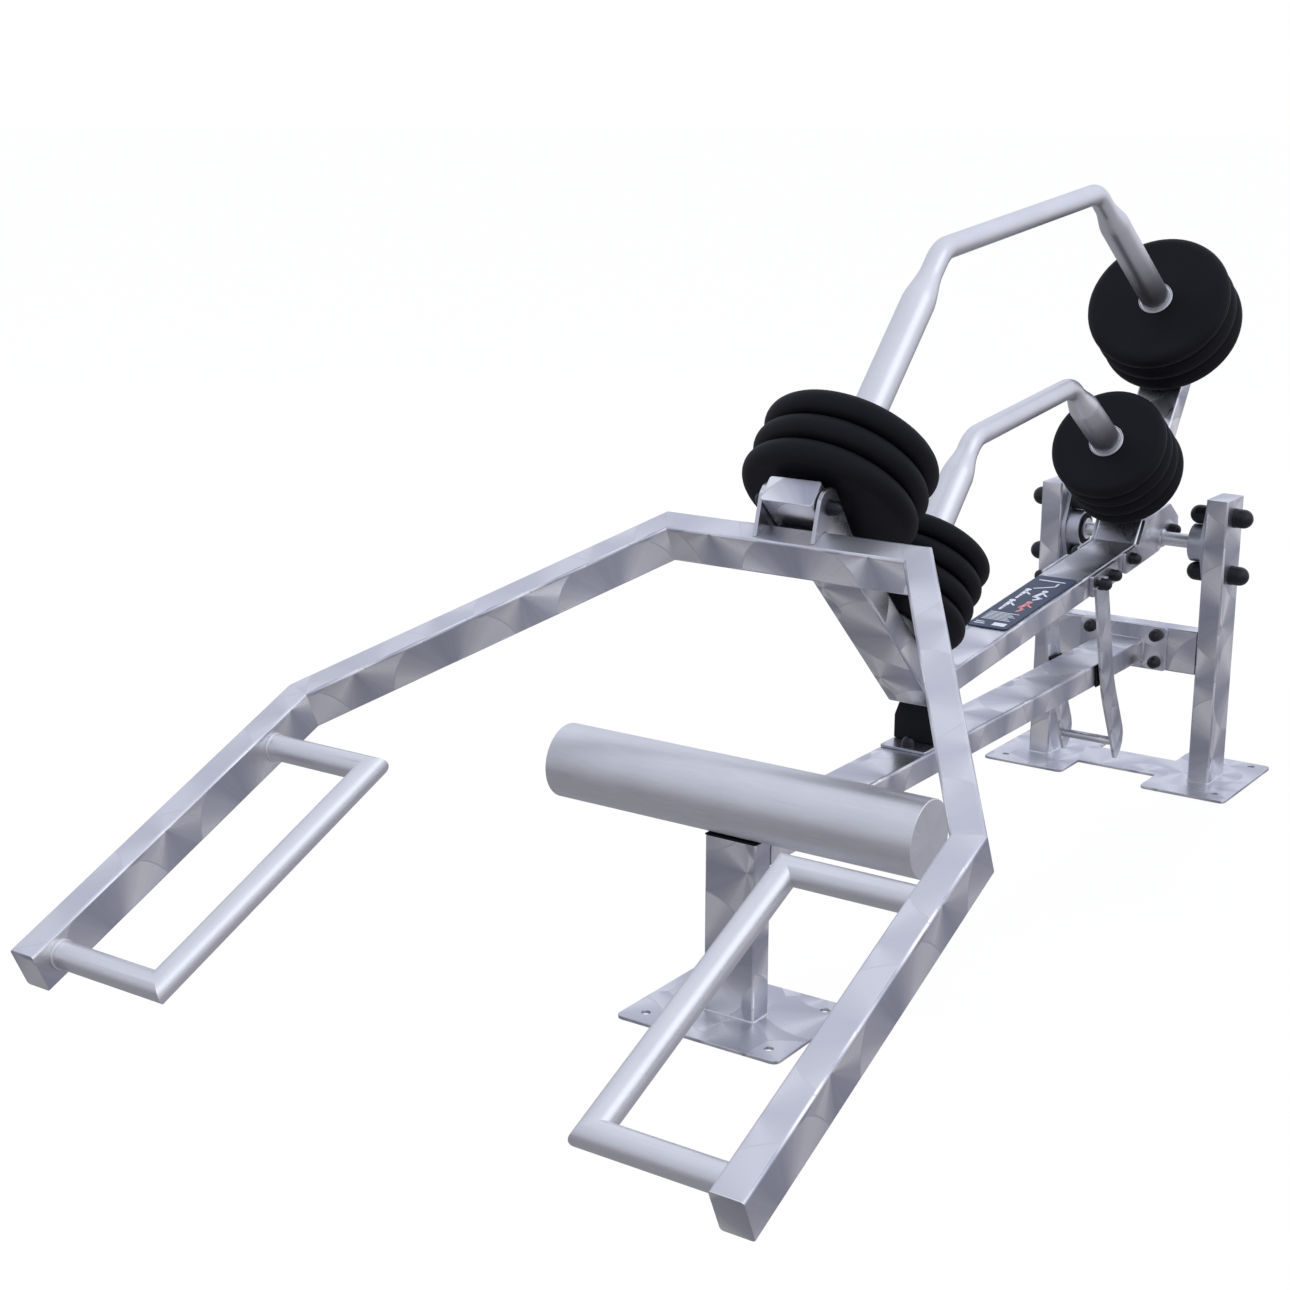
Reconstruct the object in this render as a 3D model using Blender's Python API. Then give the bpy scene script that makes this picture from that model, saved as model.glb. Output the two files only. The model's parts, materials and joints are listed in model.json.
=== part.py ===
"""Outdoor hack squat machine: a see-saw lever on a fixed frame, with a hinged yoke at its front end.

The person stands inside the yoke and lifts its two handles. The yoke hangs from the front arm of the
lever, and the lever turns on a shaft between two rear posts. Round weight plates slide along two bent
bars: at the front of a bar they add load, at the rear they take it away.

Metres, +Z up. X = 0 is the plane of symmetry and +Y points from the yoke to the rear posts. The origin
is on the ground, under the centre of the front post.
"""

import math

import bmesh
import bpy
from mathutils import Matrix, Vector

# --- Stock ----------------------------------------------------------------------------------------
TUBE_WIDE = 0.080
TUBE_THIN = 0.040
WALL = 0.003
FOOT_PLATE = 0.005
BRACKET_PLATE = 0.005
GAP = 0.0003

# --- Fixed frame ----------------------------------------------------------------------------------
POST_X = 0.1555
POST_Y = 1.348
POST_TOP = 0.522
CROSS_FRONT = 1.308
CROSS_TOP = 0.2825
LOW_BEAM_TOP = 0.2567
FLANGE_HALF_WIDTH = 0.083
REAR_PLATE_HALF = 0.2326
REAR_PLATE_FRONT = 1.232
REAR_PLATE_BACK = 1.477
STRIP_HALF = 0.0755
STRIP_FRONT = 1.310
STRIP_BACK = 1.410
FRONT_PLATE_HALF_X = 0.1277
FRONT_PLATE_HALF_Y = 0.103
FOOT_CORNER = 0.010
FOOT_HOLE = 0.0065
FOOT_HOLE_INSET = 0.030
REAR_HOLE_FRONT = 1.267
REAR_HOLE_BACK = 1.457
ROLLER_Z = 0.3115
ROLLER_RADIUS = 0.052
ROLLER_HALF = 0.2826

# --- Lever ----------------------------------------------------------------------------------------
# The lever is symmetric about its own middle. Its points are given as (x, a, b): a runs along the main
# beam from the middle towards the rear, and b stands up from the beam's top face.
LEVER_TILT = math.radians(6.0)
PIVOT_Z = 0.436
PIVOT_A = 0.4836
PIVOT_B = -0.020
ARM_LEAN = math.radians(50.0)
BEAM_HALF = 0.3888
FRONT_ARM_LENGTH = 0.526
REAR_ARM_LENGTH = 0.482
UPPER_BAR_ON_ARM = 0.4330
LOWER_BAR_ON_ARM = 0.1400
UPPER_BAR_TOP = 0.6213
LOWER_BAR_TOP = 0.3199
SLEEVE_RADIUS = 0.025
BEND_TUBE_RADIUS = 0.01685
BEND_RADIUS = 0.055
SHAFT_RADIUS = 0.0125

# --- Weight plates --------------------------------------------------------------------------------
LARGE_PLATE = {"radius": 0.131, "thick": 0.040}
SMALL_PLATE = {"radius": 0.1045, "thick": 0.0345}
PLATE_BORE = 0.0262

# --- Yoke -----------------------------------------------------------------------------------------
# The yoke's points are (x, s, n) from its hinge: s runs to the rear in the yoke's plane, n is its normal.
YOKE_TILT = math.radians(24.07)
HINGE_FROM_ARM_END = 0.030
YOKE_BACK = -0.0214
YOKE_TOP = -0.0232
YOKE_TUBE = 0.040
YOKE_DEPTH = 0.056
YOKE_BACK_HALF = 0.2041
YOKE_RAIL_HALF = 0.507
RAIL_REAR = 0.484
RAIL_FRONT = 1.006
GRIP_X = 0.3035
GRIP_RADIUS = 0.01685
GRIP_REAR = 0.5733
GRIP_FRONT = 0.9702
EAR_INNER = 0.0415
EAR_THICK = 0.006

# --- Fasteners ------------------------------------------------------------------------------------
SMALL_BOLT = {"shank": 0.006, "cap": 0.011, "reach": 0.019}
LARGE_BOLT = {"shank": 0.006, "cap": 0.0175, "reach": 0.032}
BOLT_HOLE = 0.0065
BEARING_BOLT_RISE = 0.0515

X, Y, Z = Vector((1, 0, 0)), Vector((0, 1, 0)), Vector((0, 0, 1))


# --- Scene helpers --------------------------------------------------------------------------------
def clear_scene():
    for obj in list(bpy.data.objects):
        bpy.data.objects.remove(obj, do_unlink=True)


def material(name, colour, roughness, metallic):
    made = bpy.data.materials.new(name)
    made.use_nodes = True
    shader = made.node_tree.nodes["Principled BSDF"]
    shader.inputs["Base Color"].default_value = (*colour, 1.0)
    shader.inputs["Roughness"].default_value = roughness
    shader.inputs["Metallic"].default_value = metallic
    return made


def add_object(name, mesh, finish, parent=None):
    obj = bpy.data.objects.new(name, mesh)
    bpy.context.scene.collection.objects.link(obj)
    if finish and not mesh.materials:
        mesh.materials.append(finish)
    obj.parent = parent
    return obj


def add_empty(name, location, tilt, parent=None):
    empty = bpy.data.objects.new(name, None)
    bpy.context.scene.collection.objects.link(empty)
    empty.location = location
    empty.rotation_euler = (tilt, 0, 0)
    empty.parent = parent
    return empty


def mesh_from(name, points, faces, smooth=False):
    """A mesh whose faces all point out, whatever way round they were listed."""
    mesh = bpy.data.meshes.new(name)
    mesh.from_pydata([tuple(p) for p in points], [], faces)
    shaper = bmesh.new()
    shaper.from_mesh(mesh)
    bmesh.ops.recalc_face_normals(shaper, faces=shaper.faces)
    shaper.to_mesh(mesh)
    shaper.free()
    if smooth:
        mesh.shade_smooth()
        mesh.set_sharp_from_angle(angle=math.radians(35))
    return mesh


def rod_cutter(name, start, end, radius, parent=None, sides=16):
    """A hidden round rod from start to end, used to cut a hole."""
    along = end - start
    side = along.orthogonal().normalized()
    mesh = mesh_from(name, *ring_sweep([start, end], [radius, radius], side, sides))
    cutter = add_object(name, mesh, None, parent)
    cutter.hide_render = True
    cutter.display_type = "WIRE"
    return cutter


def boolean(obj, other, operation):
    modifier = obj.modifiers.new(other.name, "BOOLEAN")
    modifier.operation = operation
    modifier.object = other
    modifier.solver = "EXACT"


def drill(obj, name, start, end, radius, parent=None, sides=16):
    boolean(obj, rod_cutter(name, start, end, radius, parent, sides), "DIFFERENCE")


# --- Shapes ---------------------------------------------------------------------------------------
def box_tube(length, across, up, start_slope=0.0, end_slope=0.0, cap_start=False, cap_end=False):
    """Points and faces of a rectangular tube along +X, with corner (0, 0, 0) and sizes across Y and up Z.

    A slope moves an end by slope x Y, which makes a mitre. A capped end is closed by one wall.
    """
    rings = []
    for inset in (0.0, WALL):
        for at_end in (False, True):
            capped = cap_end if at_end else cap_start
            shift = WALL if inset and capped else 0.0
            ring = []
            for y, z in rectangle(inset, across - inset, inset, up - inset):
                x = length - shift + end_slope * y if at_end else shift + start_slope * y
                ring.append(Vector((x, y, z)))
            rings.append(ring)
    points = [p for ring in rings for p in ring]
    outer_start, outer_end, inner_start, inner_end = (range(4 * i, 4 * i + 4) for i in range(4))
    faces = []
    for i in range(4):
        j = (i + 1) % 4
        faces.append((outer_start[i], outer_start[j], outer_end[j], outer_end[i]))
        faces.append((inner_start[j], inner_start[i], inner_end[i], inner_end[j]))
        if not cap_start:
            faces.append((outer_start[j], outer_start[i], inner_start[i], inner_start[j]))
        if not cap_end:
            faces.append((outer_end[i], outer_end[j], inner_end[j], inner_end[i]))
    if cap_start:
        faces += [tuple(reversed(outer_start)), tuple(inner_start)]
    if cap_end:
        faces += [tuple(outer_end), tuple(reversed(inner_end))]
    return points, faces


def placed(points, corner, along, across, up):
    """The points of a +X tube moved to a corner, with its three directions turned."""
    return [corner + along * p.x + across * p.y + up * p.z for p in points]


def tube_object(name, finish, parent, corner, along, across, up, length, size_across, size_up, **ends):
    points, faces = box_tube(length, size_across, size_up, **ends)
    return add_object(name, mesh_from(name, placed(points, corner, along, across, up), faces), finish, parent)


def ring_sweep(path, radii, side, sides, wall=0.0):
    """Points and faces of a round bar along a flat path; side is the normal of the path's plane.

    A ring at a corner lies in the plane that halves the corner. With a wall the bar is an open tube.
    """
    skins = (0.0, wall) if wall else (0.0,)
    rings = []
    for inset in skins:
        for i, point in enumerate(path):
            before = (point - path[i - 1]).normalized() if i and (point - path[i - 1]).length > 1e-9 else None
            after = None
            if i + 1 < len(path) and (path[i + 1] - point).length > 1e-9:
                after = (path[i + 1] - point).normalized()
            before, after = before or after, after or before
            middle = (before + after).normalized()
            spread = 1.0 / max(middle.dot(after), 0.2)
            inward = side.cross(middle).normalized()
            ring = []
            for k in range(sides):
                turn = 2 * math.pi * (k + 0.5) / sides
                offset = side * math.cos(turn) + inward * (math.sin(turn) * spread)
                ring.append(point + offset * (radii[i] - inset))
            rings.append(ring)
    points = [p for ring in rings for p in ring]
    count = len(path)
    faces = []
    for skin in range(len(skins)):
        for i in range(count - 1):
            first = (skin * count + i) * sides
            for k in range(sides):
                m = (k + 1) % sides
                faces.append((first + k, first + m, first + sides + m, first + sides + k))
    for end in (0, count - 1):
        outer = end * sides
        if wall:
            inner = (count + end) * sides
            for k in range(sides):
                m = (k + 1) % sides
                faces.append((outer + k, outer + m, inner + m, inner + k))
        else:
            faces.append(tuple(range(outer, outer + sides)))
    return points, faces


def turned(profile, sides):
    """Points and faces of a solid turned about Z. The profile runs round the section as (radius, z)."""
    points = []
    rings = []
    for radius, z in profile:
        start = len(points)
        if radius < 1e-9:
            points.append(Vector((0, 0, z)))
            rings.append([start] * sides)
            continue
        for k in range(sides):
            turn = 2 * math.pi * k / sides
            points.append(Vector((radius * math.cos(turn), radius * math.sin(turn), z)))
        rings.append(list(range(start, start + sides)))
    faces = []
    last = len(rings) if profile[0][0] > 1e-9 else len(rings) - 1
    for i in range(last):
        low, high = rings[i], rings[(i + 1) % len(rings)]
        for k in range(sides):
            m = (k + 1) % sides
            corners = [low[k], low[m], high[m], high[k]]
            faces.append(tuple(dict.fromkeys(corners)))
    return points, faces


def sheet_solid(outline, across, up, normal, start, thickness):
    """Points and faces of flat stock: an outline of (across, up) pairs, thickened along normal."""
    near = [start + across * u + up * v for u, v in outline]
    far = [p + normal * thickness for p in near]
    count = len(outline)
    faces = [tuple(range(count)), tuple(reversed(range(count, 2 * count)))]
    for i in range(count):
        j = (i + 1) % count
        faces.append((i, j, count + j, count + i))
    return near + far, faces


def rounded(corners, radius, steps=3):
    """An outline whose corners are rounded; a radius list gives each corner its own."""
    radii = radius if isinstance(radius, (list, tuple)) else [radius] * len(corners)
    outline = []
    for i, corner in enumerate(corners):
        here = Vector(corner)
        before = (Vector(corners[i - 1]) - here).normalized()
        after = (Vector(corners[(i + 1) % len(corners)]) - here).normalized()
        if radii[i] <= 0:
            outline.append(corner)
            continue
        half = before.angle(after) / 2
        reach = radii[i] / math.tan(half)
        centre = here + (before + after).normalized() * (radii[i] / math.sin(half))
        start = here + before * reach - centre
        end = here + after * reach - centre
        sweep = start.angle_signed(end)
        for k in range(steps + 1):
            turn = -sweep * k / steps
            x = start.x * math.cos(turn) - start.y * math.sin(turn)
            y = start.x * math.sin(turn) + start.y * math.cos(turn)
            outline.append((centre.x + x, centre.y + y))
    return outline


def rectangle(left, right, low, high):
    return [(left, low), (right, low), (right, high), (left, high)]


def dome_profile(radius, reach, base, steps=3):
    """Half of a bolt cap's profile, from its tip at base + reach down to its flat foot at base."""
    centre = base + reach - radius
    angles = [math.pi / 2 * k / steps for k in range(steps + 1)]
    dome = [(radius * math.sin(angle), centre + radius * math.cos(angle)) for angle in angles]
    return dome + [(radius, base)]


def cap_bolt(name, finish, parent, centre, axis, half_grip, size, sides=12):
    """A through bolt along axis with a domed cap on each end, half_grip from its middle to a cap's foot."""
    top = dome_profile(size["cap"], size["reach"], half_grip) + [(size["shank"], half_grip)]
    profile = top + [(radius, -z) for radius, z in reversed(top)]
    points, faces = turned(profile, sides)
    turn = Z.rotation_difference(axis).to_matrix()
    mesh = mesh_from(name, [centre + turn @ p for p in points], faces, True)
    return add_object(name, mesh, finish, parent)


# --- Fixed frame ----------------------------------------------------------------------------------
def both_sides():
    return (("left", -1), ("right", 1))


def make_rear_base(steel):
    corners = [
        (-REAR_PLATE_HALF, REAR_PLATE_FRONT),
        (-STRIP_HALF, REAR_PLATE_FRONT),
        (-STRIP_HALF, STRIP_FRONT),
        (STRIP_HALF, STRIP_FRONT),
        (STRIP_HALF, REAR_PLATE_FRONT),
        (REAR_PLATE_HALF, REAR_PLATE_FRONT),
        (REAR_PLATE_HALF, REAR_PLATE_BACK),
        (STRIP_HALF, REAR_PLATE_BACK),
        (STRIP_HALF, STRIP_BACK),
        (-STRIP_HALF, STRIP_BACK),
        (-STRIP_HALF, REAR_PLATE_BACK),
        (-REAR_PLATE_HALF, REAR_PLATE_BACK),
    ]
    inner_corners = (STRIP_FRONT, STRIP_BACK)
    radii = [0 if abs(x) == STRIP_HALF and y in inner_corners else FOOT_CORNER for x, y in corners]
    points, faces = sheet_solid(rounded(corners, radii), X, Y, Z, Vector(), FOOT_PLATE)
    plate = add_object("rear_base_plate", mesh_from("rear_base_plate", points, faces), steel)
    for side, sign in both_sides():
        for end, y in (("front", REAR_HOLE_FRONT), ("back", REAR_HOLE_BACK)):
            centre = Vector((sign * (REAR_PLATE_HALF - FOOT_HOLE_INSET), y, 0))
            drill(plate, f"rear_foot_hole_{side}_{end}", centre - Z * 0.01, centre + Z * 0.02, FOOT_HOLE)


def make_front_base(steel):
    corners = rectangle(-FRONT_PLATE_HALF_X, FRONT_PLATE_HALF_X, -FRONT_PLATE_HALF_Y, FRONT_PLATE_HALF_Y)
    points, faces = sheet_solid(rounded(corners, FOOT_CORNER), X, Y, Z, Vector(), FOOT_PLATE)
    plate = add_object("front_base_plate", mesh_from("front_base_plate", points, faces), steel)
    across, along = FRONT_PLATE_HALF_X - FOOT_HOLE_INSET, FRONT_PLATE_HALF_Y - FOOT_HOLE_INSET
    for side, sign in both_sides():
        for end, direction in (("front", -1), ("back", 1)):
            centre = Vector((sign * across, direction * along, 0))
            drill(plate, f"front_foot_hole_{side}_{end}", centre - Z * 0.01, centre + Z * 0.02, FOOT_HOLE)


def make_posts(steel):
    foot = FOOT_PLATE + GAP
    for side, sign in both_sides():
        corner = Vector((sign * POST_X + TUBE_THIN / 2, POST_Y - TUBE_WIDE / 2, foot))
        height = POST_TOP - foot
        name = f"rear_post_{side}"
        post = tube_object(name, steel, None, corner, Z, Y, -X, height, TUBE_WIDE, TUBE_THIN, cap_end=True)
        for level, rise in (("upper", BEARING_BOLT_RISE), ("lower", -BEARING_BOLT_RISE)):
            start = Vector((sign * POST_X - 0.04, POST_Y, PIVOT_Z + rise))
            drill(post, f"{name}_{level}_hole", start, start + X * 0.08, BOLT_HOLE)
    corner = Vector((TUBE_WIDE / 2, -TUBE_THIN / 2, foot))
    height = LOW_BEAM_TOP - foot
    tube_object("front_post", steel, None, corner, Z, Y, -X, height, TUBE_THIN, TUBE_WIDE, cap_end=True)


def make_beams(steel):
    half = POST_X - TUBE_THIN / 2 - GAP
    corner = Vector((-half, CROSS_FRONT, CROSS_TOP - TUBE_WIDE))
    tube_object("cross_beam", steel, None, corner, X, Y, Z, 2 * half, TUBE_THIN, TUBE_WIDE)
    flange_front = CROSS_FRONT - GAP - BRACKET_PLATE
    corners = rectangle(-FLANGE_HALF_WIDTH, FLANGE_HALF_WIDTH, CROSS_TOP - TUBE_WIDE, CROSS_TOP)
    outline = rounded(corners, 0.006)
    points, faces = sheet_solid(outline, X, Z, Y, Vector((0, flange_front, 0)), BRACKET_PLATE)
    add_object("low_beam_flange", mesh_from("low_beam_flange", points, faces), steel)
    start = TUBE_THIN / 2 + GAP
    corner = Vector((TUBE_WIDE / 2, start, LOW_BEAM_TOP - TUBE_THIN))
    length = flange_front - GAP - start
    tube_object("low_beam", steel, None, corner, Y, -X, Z, length, TUBE_WIDE, TUBE_THIN)


def make_roller(steel, rubber):
    skin = [(0, -ROLLER_HALF), (ROLLER_RADIUS, -ROLLER_HALF), (ROLLER_RADIUS, ROLLER_HALF), (0, ROLLER_HALF)]
    inner, inner_half = ROLLER_RADIUS - WALL, ROLLER_HALF - WALL
    core = [(0, -inner_half), (inner, -inner_half), (inner, inner_half), (0, inner_half)]
    turn = Z.rotation_difference(X).to_matrix()
    centre = Vector((0, 0, ROLLER_Z))
    points, faces = [], []
    for profile in (skin, core):
        start = len(points)
        ring_points, ring_faces = turned(profile, 32)
        points += [centre + turn @ p for p in ring_points]
        # The core's faces are turned round, so that the two skins bound one hollow wall.
        for face in ring_faces:
            face = face if profile is skin else tuple(reversed(face))
            faces.append(tuple(start + i for i in face))
    mesh = bpy.data.meshes.new("roller")
    mesh.from_pydata([tuple(p) for p in points], [], faces)
    mesh.shade_smooth()
    mesh.set_sharp_from_angle(angle=math.radians(35))
    roller = add_object("roller", mesh, steel)
    drill(roller, "roller_bolt_hole", Vector((0, 0, LOW_BEAM_TOP)), Vector((0, 0, ROLLER_Z)), BOLT_HOLE)
    pad_low = LOW_BEAM_TOP + GAP
    outline = rectangle(-TUBE_WIDE / 2, TUBE_WIDE / 2, -TUBE_THIN / 2, TUBE_THIN / 2)
    thick = ROLLER_Z - ROLLER_RADIUS - GAP - pad_low
    points, faces = sheet_solid(outline, X, Y, Z, Vector((0, 0, pad_low)), thick)
    add_object("roller_pad", mesh_from("roller_pad", points, faces), rubber)


def make_bumper(steel, rubber, plastic):
    plate_front, plate_back, plate_half, plate_thick = 0.458, 0.598, 0.038, 0.004
    block_front, block_back = 0.499, 0.567
    plate_low = LOW_BEAM_TOP + GAP
    outline = rounded(rectangle(-plate_half, plate_half, plate_front, plate_back), 0.004)
    points, faces = sheet_solid(outline, X, Y, Z, Vector((0, 0, plate_low)), plate_thick)
    add_object("bumper_plate", mesh_from("bumper_plate", points, faces), steel)

    # The block's top lies along the underside of the resting beam; its upper side corners are cut off.
    foot, shoulder, foot_half, top_half = plate_low + plate_thick + GAP, 0.298, 0.037, 0.027
    points = []
    for y in (block_front, block_back):
        top = beam_underside(y) - GAP
        section = ((foot_half, foot), (foot_half, shoulder), (top_half, top))
        points += [Vector((x, y, z)) for x, z in section]
        points += [Vector((-x, y, z)) for x, z in reversed(section)]
    count = len(points) // 2
    faces = [tuple(range(count)), tuple(range(count, 2 * count))]
    faces += [(i, (i + 1) % count, count + (i + 1) % count, count + i) for i in range(count)]
    add_object("bumper_block", mesh_from("bumper_block", points, faces), rubber)

    profile = dome_profile(SMALL_BOLT["cap"], 0.014, 0) + [(0, 0)]
    points, faces = turned(profile, 16)
    centre = Vector((0, (plate_front + block_front) / 2, plate_low + plate_thick + GAP))
    add_object("bumper_bolt", mesh_from("bumper_bolt", [centre + p for p in points], faces, True), plastic)


def make_guide_pads(rubber):
    front, back, thick = 1.086, 1.128, 0.003
    for side, sign in both_sides():
        name = f"guide_pad_{side}"
        start = Vector((sign * (TUBE_WIDE / 2 + GAP), 0, 0))
        outline = rectangle(front, back, LOW_BEAM_TOP - TUBE_THIN, LOW_BEAM_TOP)
        points, faces = sheet_solid(outline, Y, Z, X * sign, start, thick)
        add_object(name, mesh_from(name, points, faces), rubber)


def make_bearings(cast, plastic):
    """Two-bolt flange bearings on the inner faces of the posts, with their through bolts."""
    flange_thick, boss_radius, boss_face, sunk = 0.008, 0.034, 0.1035, 0.004
    bore = (SHAFT_RADIUS + 0.00015) / math.cos(math.pi / 24)
    inner_face = POST_X - TUBE_THIN / 2 - GAP
    ear, waist = 0.020, 0.036
    corners = [(ear, BEARING_BOLT_RISE), (waist, 0.012), (waist, -0.012), (ear, -BEARING_BOLT_RISE)]
    outline = [(ear * math.sin(t), BEARING_BOLT_RISE + ear * math.cos(t)) for t in (-0.9, -0.3, 0.3, 0.9)]
    outline += corners
    outline += [(ear * math.sin(t), -BEARING_BOLT_RISE - ear * math.cos(t)) for t in (0.9, 0.3, -0.3, -0.9)]
    outline += [(-y, z) for y, z in reversed(corners)]
    for side, sign in both_sides():
        name = f"bearing_{side}"
        centre = Vector((0, POST_Y, PIVOT_Z))
        start = centre + X * sign * (inner_face - flange_thick)
        points, faces = sheet_solid(outline, Y, Z, X * sign, start, flange_thick)
        bearing = add_object(name, mesh_from(name, points, faces), cast)
        boss_path = [centre + X * sign * x for x in (boss_face, inner_face - sunk)]
        boss_mesh = mesh_from(f"{name}_boss", *ring_sweep(boss_path, [boss_radius] * 2, Y, 24))
        boss = add_object(f"{name}_boss", boss_mesh, None)
        boss.hide_render = True
        boss.display_type = "WIRE"
        boolean(bearing, boss, "UNION")
        drill(bearing, f"{name}_bore", centre + X * sign * 0.08, centre + X * sign * 0.15, bore, sides=24)
        middle = (inner_face - flange_thick + POST_X + TUBE_THIN / 2) / 2
        half_grip = POST_X + TUBE_THIN / 2 + GAP - middle
        for level, rise in (("upper", BEARING_BOLT_RISE), ("lower", -BEARING_BOLT_RISE)):
            bolt_centre = centre + X * sign * middle + Z * rise
            drill(bearing, f"{name}_{level}_hole", bolt_centre - X * 0.05, bolt_centre + X * 0.05, BOLT_HOLE)
            cap_bolt(f"bearing_bolt_{level}_{side}", plastic, None, bolt_centre, X, half_grip, LARGE_BOLT)


# --- Lever ----------------------------------------------------------------------------------------
def lever_point(x, a, b):
    """A point of the lever, from its pivot."""
    return Vector((x, a - PIVOT_A, b - PIVOT_B))


def beam_underside(y):
    """Height of the main beam's lower face over a point of the ground line, with the lever at rest."""
    along = math.tan(LEVER_TILT) * (y - POST_Y)
    return PIVOT_Z + along + (-TUBE_THIN - PIVOT_B) / math.cos(LEVER_TILT)


def arm_point(end, x, up_arm, inward):
    """A point of an arm: end is -1 for the front arm and 1 for the rear one."""
    a = BEAM_HALF + up_arm * math.cos(ARM_LEAN) - inward * math.sin(ARM_LEAN)
    b = -TUBE_THIN + up_arm * math.sin(ARM_LEAN) + inward * math.cos(ARM_LEAN)
    return lever_point(x, end * a, b)


def make_lever_frame(steel, lever):
    mitre = math.tan((math.pi / 2 - ARM_LEAN + math.radians(10)) / 2)
    corner = lever_point(TUBE_WIDE / 2, -BEAM_HALF, -TUBE_THIN)
    beam = tube_object(
        "main_beam", steel, lever, corner, Y, Z, -X, 2 * BEAM_HALF, TUBE_THIN, TUBE_WIDE,
        start_slope=mitre, end_slope=-mitre,
    )
    for end, name, length in ((-1, "front_arm", FRONT_ARM_LENGTH), (1, "rear_arm", REAR_ARM_LENGTH)):
        foot = arm_point(end, TUBE_WIDE / 2, 2 * GAP, 0)
        along = (arm_point(end, 0, 1, 0) - arm_point(end, 0, 0, 0)).normalized()
        across = (arm_point(end, 0, 0, 1) - arm_point(end, 0, 0, 0)).normalized()
        arm = tube_object(
            name, steel, lever, foot, along, across, -X, length, TUBE_THIN, TUBE_WIDE,
            start_slope=mitre, cap_end=True,
        )
        if end < 0:
            hinge = arm_point(-1, 0, FRONT_ARM_LENGTH - HINGE_FROM_ARM_END, TUBE_THIN / 2)
            drill(arm, "hinge_bolt_hole", hinge - X * 0.05, hinge + X * 0.05, BOLT_HOLE, lever)
    return beam


def bar_path(up_arm, top):
    """Half of a weight bar's centre line from the arm to the middle, and how far along it the bend starts."""
    inner_face = TUBE_THIN + GAP
    along_face = BEAM_HALF * math.cos(ARM_LEAN) - TUBE_THIN * math.sin(ARM_LEAN) + up_arm
    bend_a = (top * math.sin(ARM_LEAN) - along_face) / math.cos(ARM_LEAN)
    corner_inward = (bend_a + BEAM_HALF) * math.sin(ARM_LEAN) + (top + TUBE_THIN) * math.cos(ARM_LEAN)
    turn = math.pi / 2 - ARM_LEAN
    tangent = BEND_RADIUS * math.tan(turn / 2)
    return inner_face, corner_inward, tangent, bend_a


def make_bar(name, steel, lever, up_arm, top, collar, cone_start, cone_end):
    """A bent tube between the arms: wide sleeves for the plates, necked down through bends and middle.

    cone_start and cone_end are distances from the bend's corner; collar is the thickness of the foot ring.
    """
    inner_face, corner_inward, tangent, bend_a = bar_path(up_arm, top)
    stations = [
        (inner_face, SLEEVE_RADIUS + 0.009),
        (inner_face + collar, SLEEVE_RADIUS + 0.009),
        (inner_face + collar, SLEEVE_RADIUS),
        (corner_inward - cone_start, SLEEVE_RADIUS),
        (corner_inward - cone_end, BEND_TUBE_RADIUS),
        (corner_inward - tangent, BEND_TUBE_RADIUS),
    ]
    half = [(arm_point(-1, 0, up_arm, inward), radius) for inward, radius in stations]
    turn = math.pi / 2 - ARM_LEAN
    steps = 3
    centre = lever_point(0, bend_a + BEND_RADIUS * math.tan(turn / 2), top - BEND_RADIUS)
    for k in range(1, steps + 1):
        angle = turn * (1 - k / steps)
        offset = Vector((0, -math.sin(angle), math.cos(angle))) * BEND_RADIUS
        half.append((centre + offset, BEND_TUBE_RADIUS))
    middle = lever_point(0, 0, 0).y
    other = [(Vector((p.x, 2 * middle - p.y, p.z)), radius) for p, radius in reversed(half)]
    path, radii = zip(*(half + other))
    points, faces = ring_sweep(list(path), list(radii), X, 16, WALL)
    add_object(name, mesh_from(name, points, faces, True), steel, lever)


def make_side_plates(steel, lever, plastic, beam):
    corners = [
        (0.316, -0.0395), (0.465, -0.0395), (0.557, -0.016), (0.557, 0.001),
        (0.518, 0.035), (0.402, 0.035), (0.374, -0.001), (0.316, -0.001),
    ]
    outline = [(a - PIVOT_A, b - PIVOT_B) for a, b in rounded(corners, 0.004, 2)]
    shaft_bore = (SHAFT_RADIUS + 0.0002) / math.cos(math.pi / 24)
    bolts = {"front": (0.338, -0.016), "rear": (0.521, -0.014)}
    for side, sign in both_sides():
        name = f"side_plate_{side}"
        start = X * sign * (TUBE_WIDE / 2 + GAP)
        points, faces = sheet_solid(outline, Y, Z, X * sign, start, BRACKET_PLATE)
        plate = add_object(name, mesh_from(name, points, faces), steel, lever)
        drill(plate, f"{name}_bore", X * sign * 0.03, X * sign * 0.06, shaft_bore, lever, 24)
        for end, (a, b) in bolts.items():
            centre = lever_point(0, a, b)
            start, stop = centre + X * sign * 0.03, centre + X * sign * 0.06
            drill(plate, f"{name}_{end}_hole", start, stop, BOLT_HOLE, lever)
    half_grip = TUBE_WIDE / 2 + BRACKET_PLATE + 2 * GAP
    for end, (a, b) in bolts.items():
        centre = lever_point(0, a, b)
        cap_bolt(f"bracket_bolt_{end}", plastic, lever, centre, X, half_grip, SMALL_BOLT)
        if end == "front":
            drill(beam, "bracket_bolt_hole", centre - X * 0.05, centre + X * 0.05, BOLT_HOLE, lever)


def make_shaft(steel, lever):
    half = 0.130
    path = [X * -half, X * half]
    points, faces = ring_sweep(path, [SHAFT_RADIUS, SHAFT_RADIUS], Y, 24)
    add_object("pivot_shaft", mesh_from("pivot_shaft", points, faces, True), steel, lever)


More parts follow.
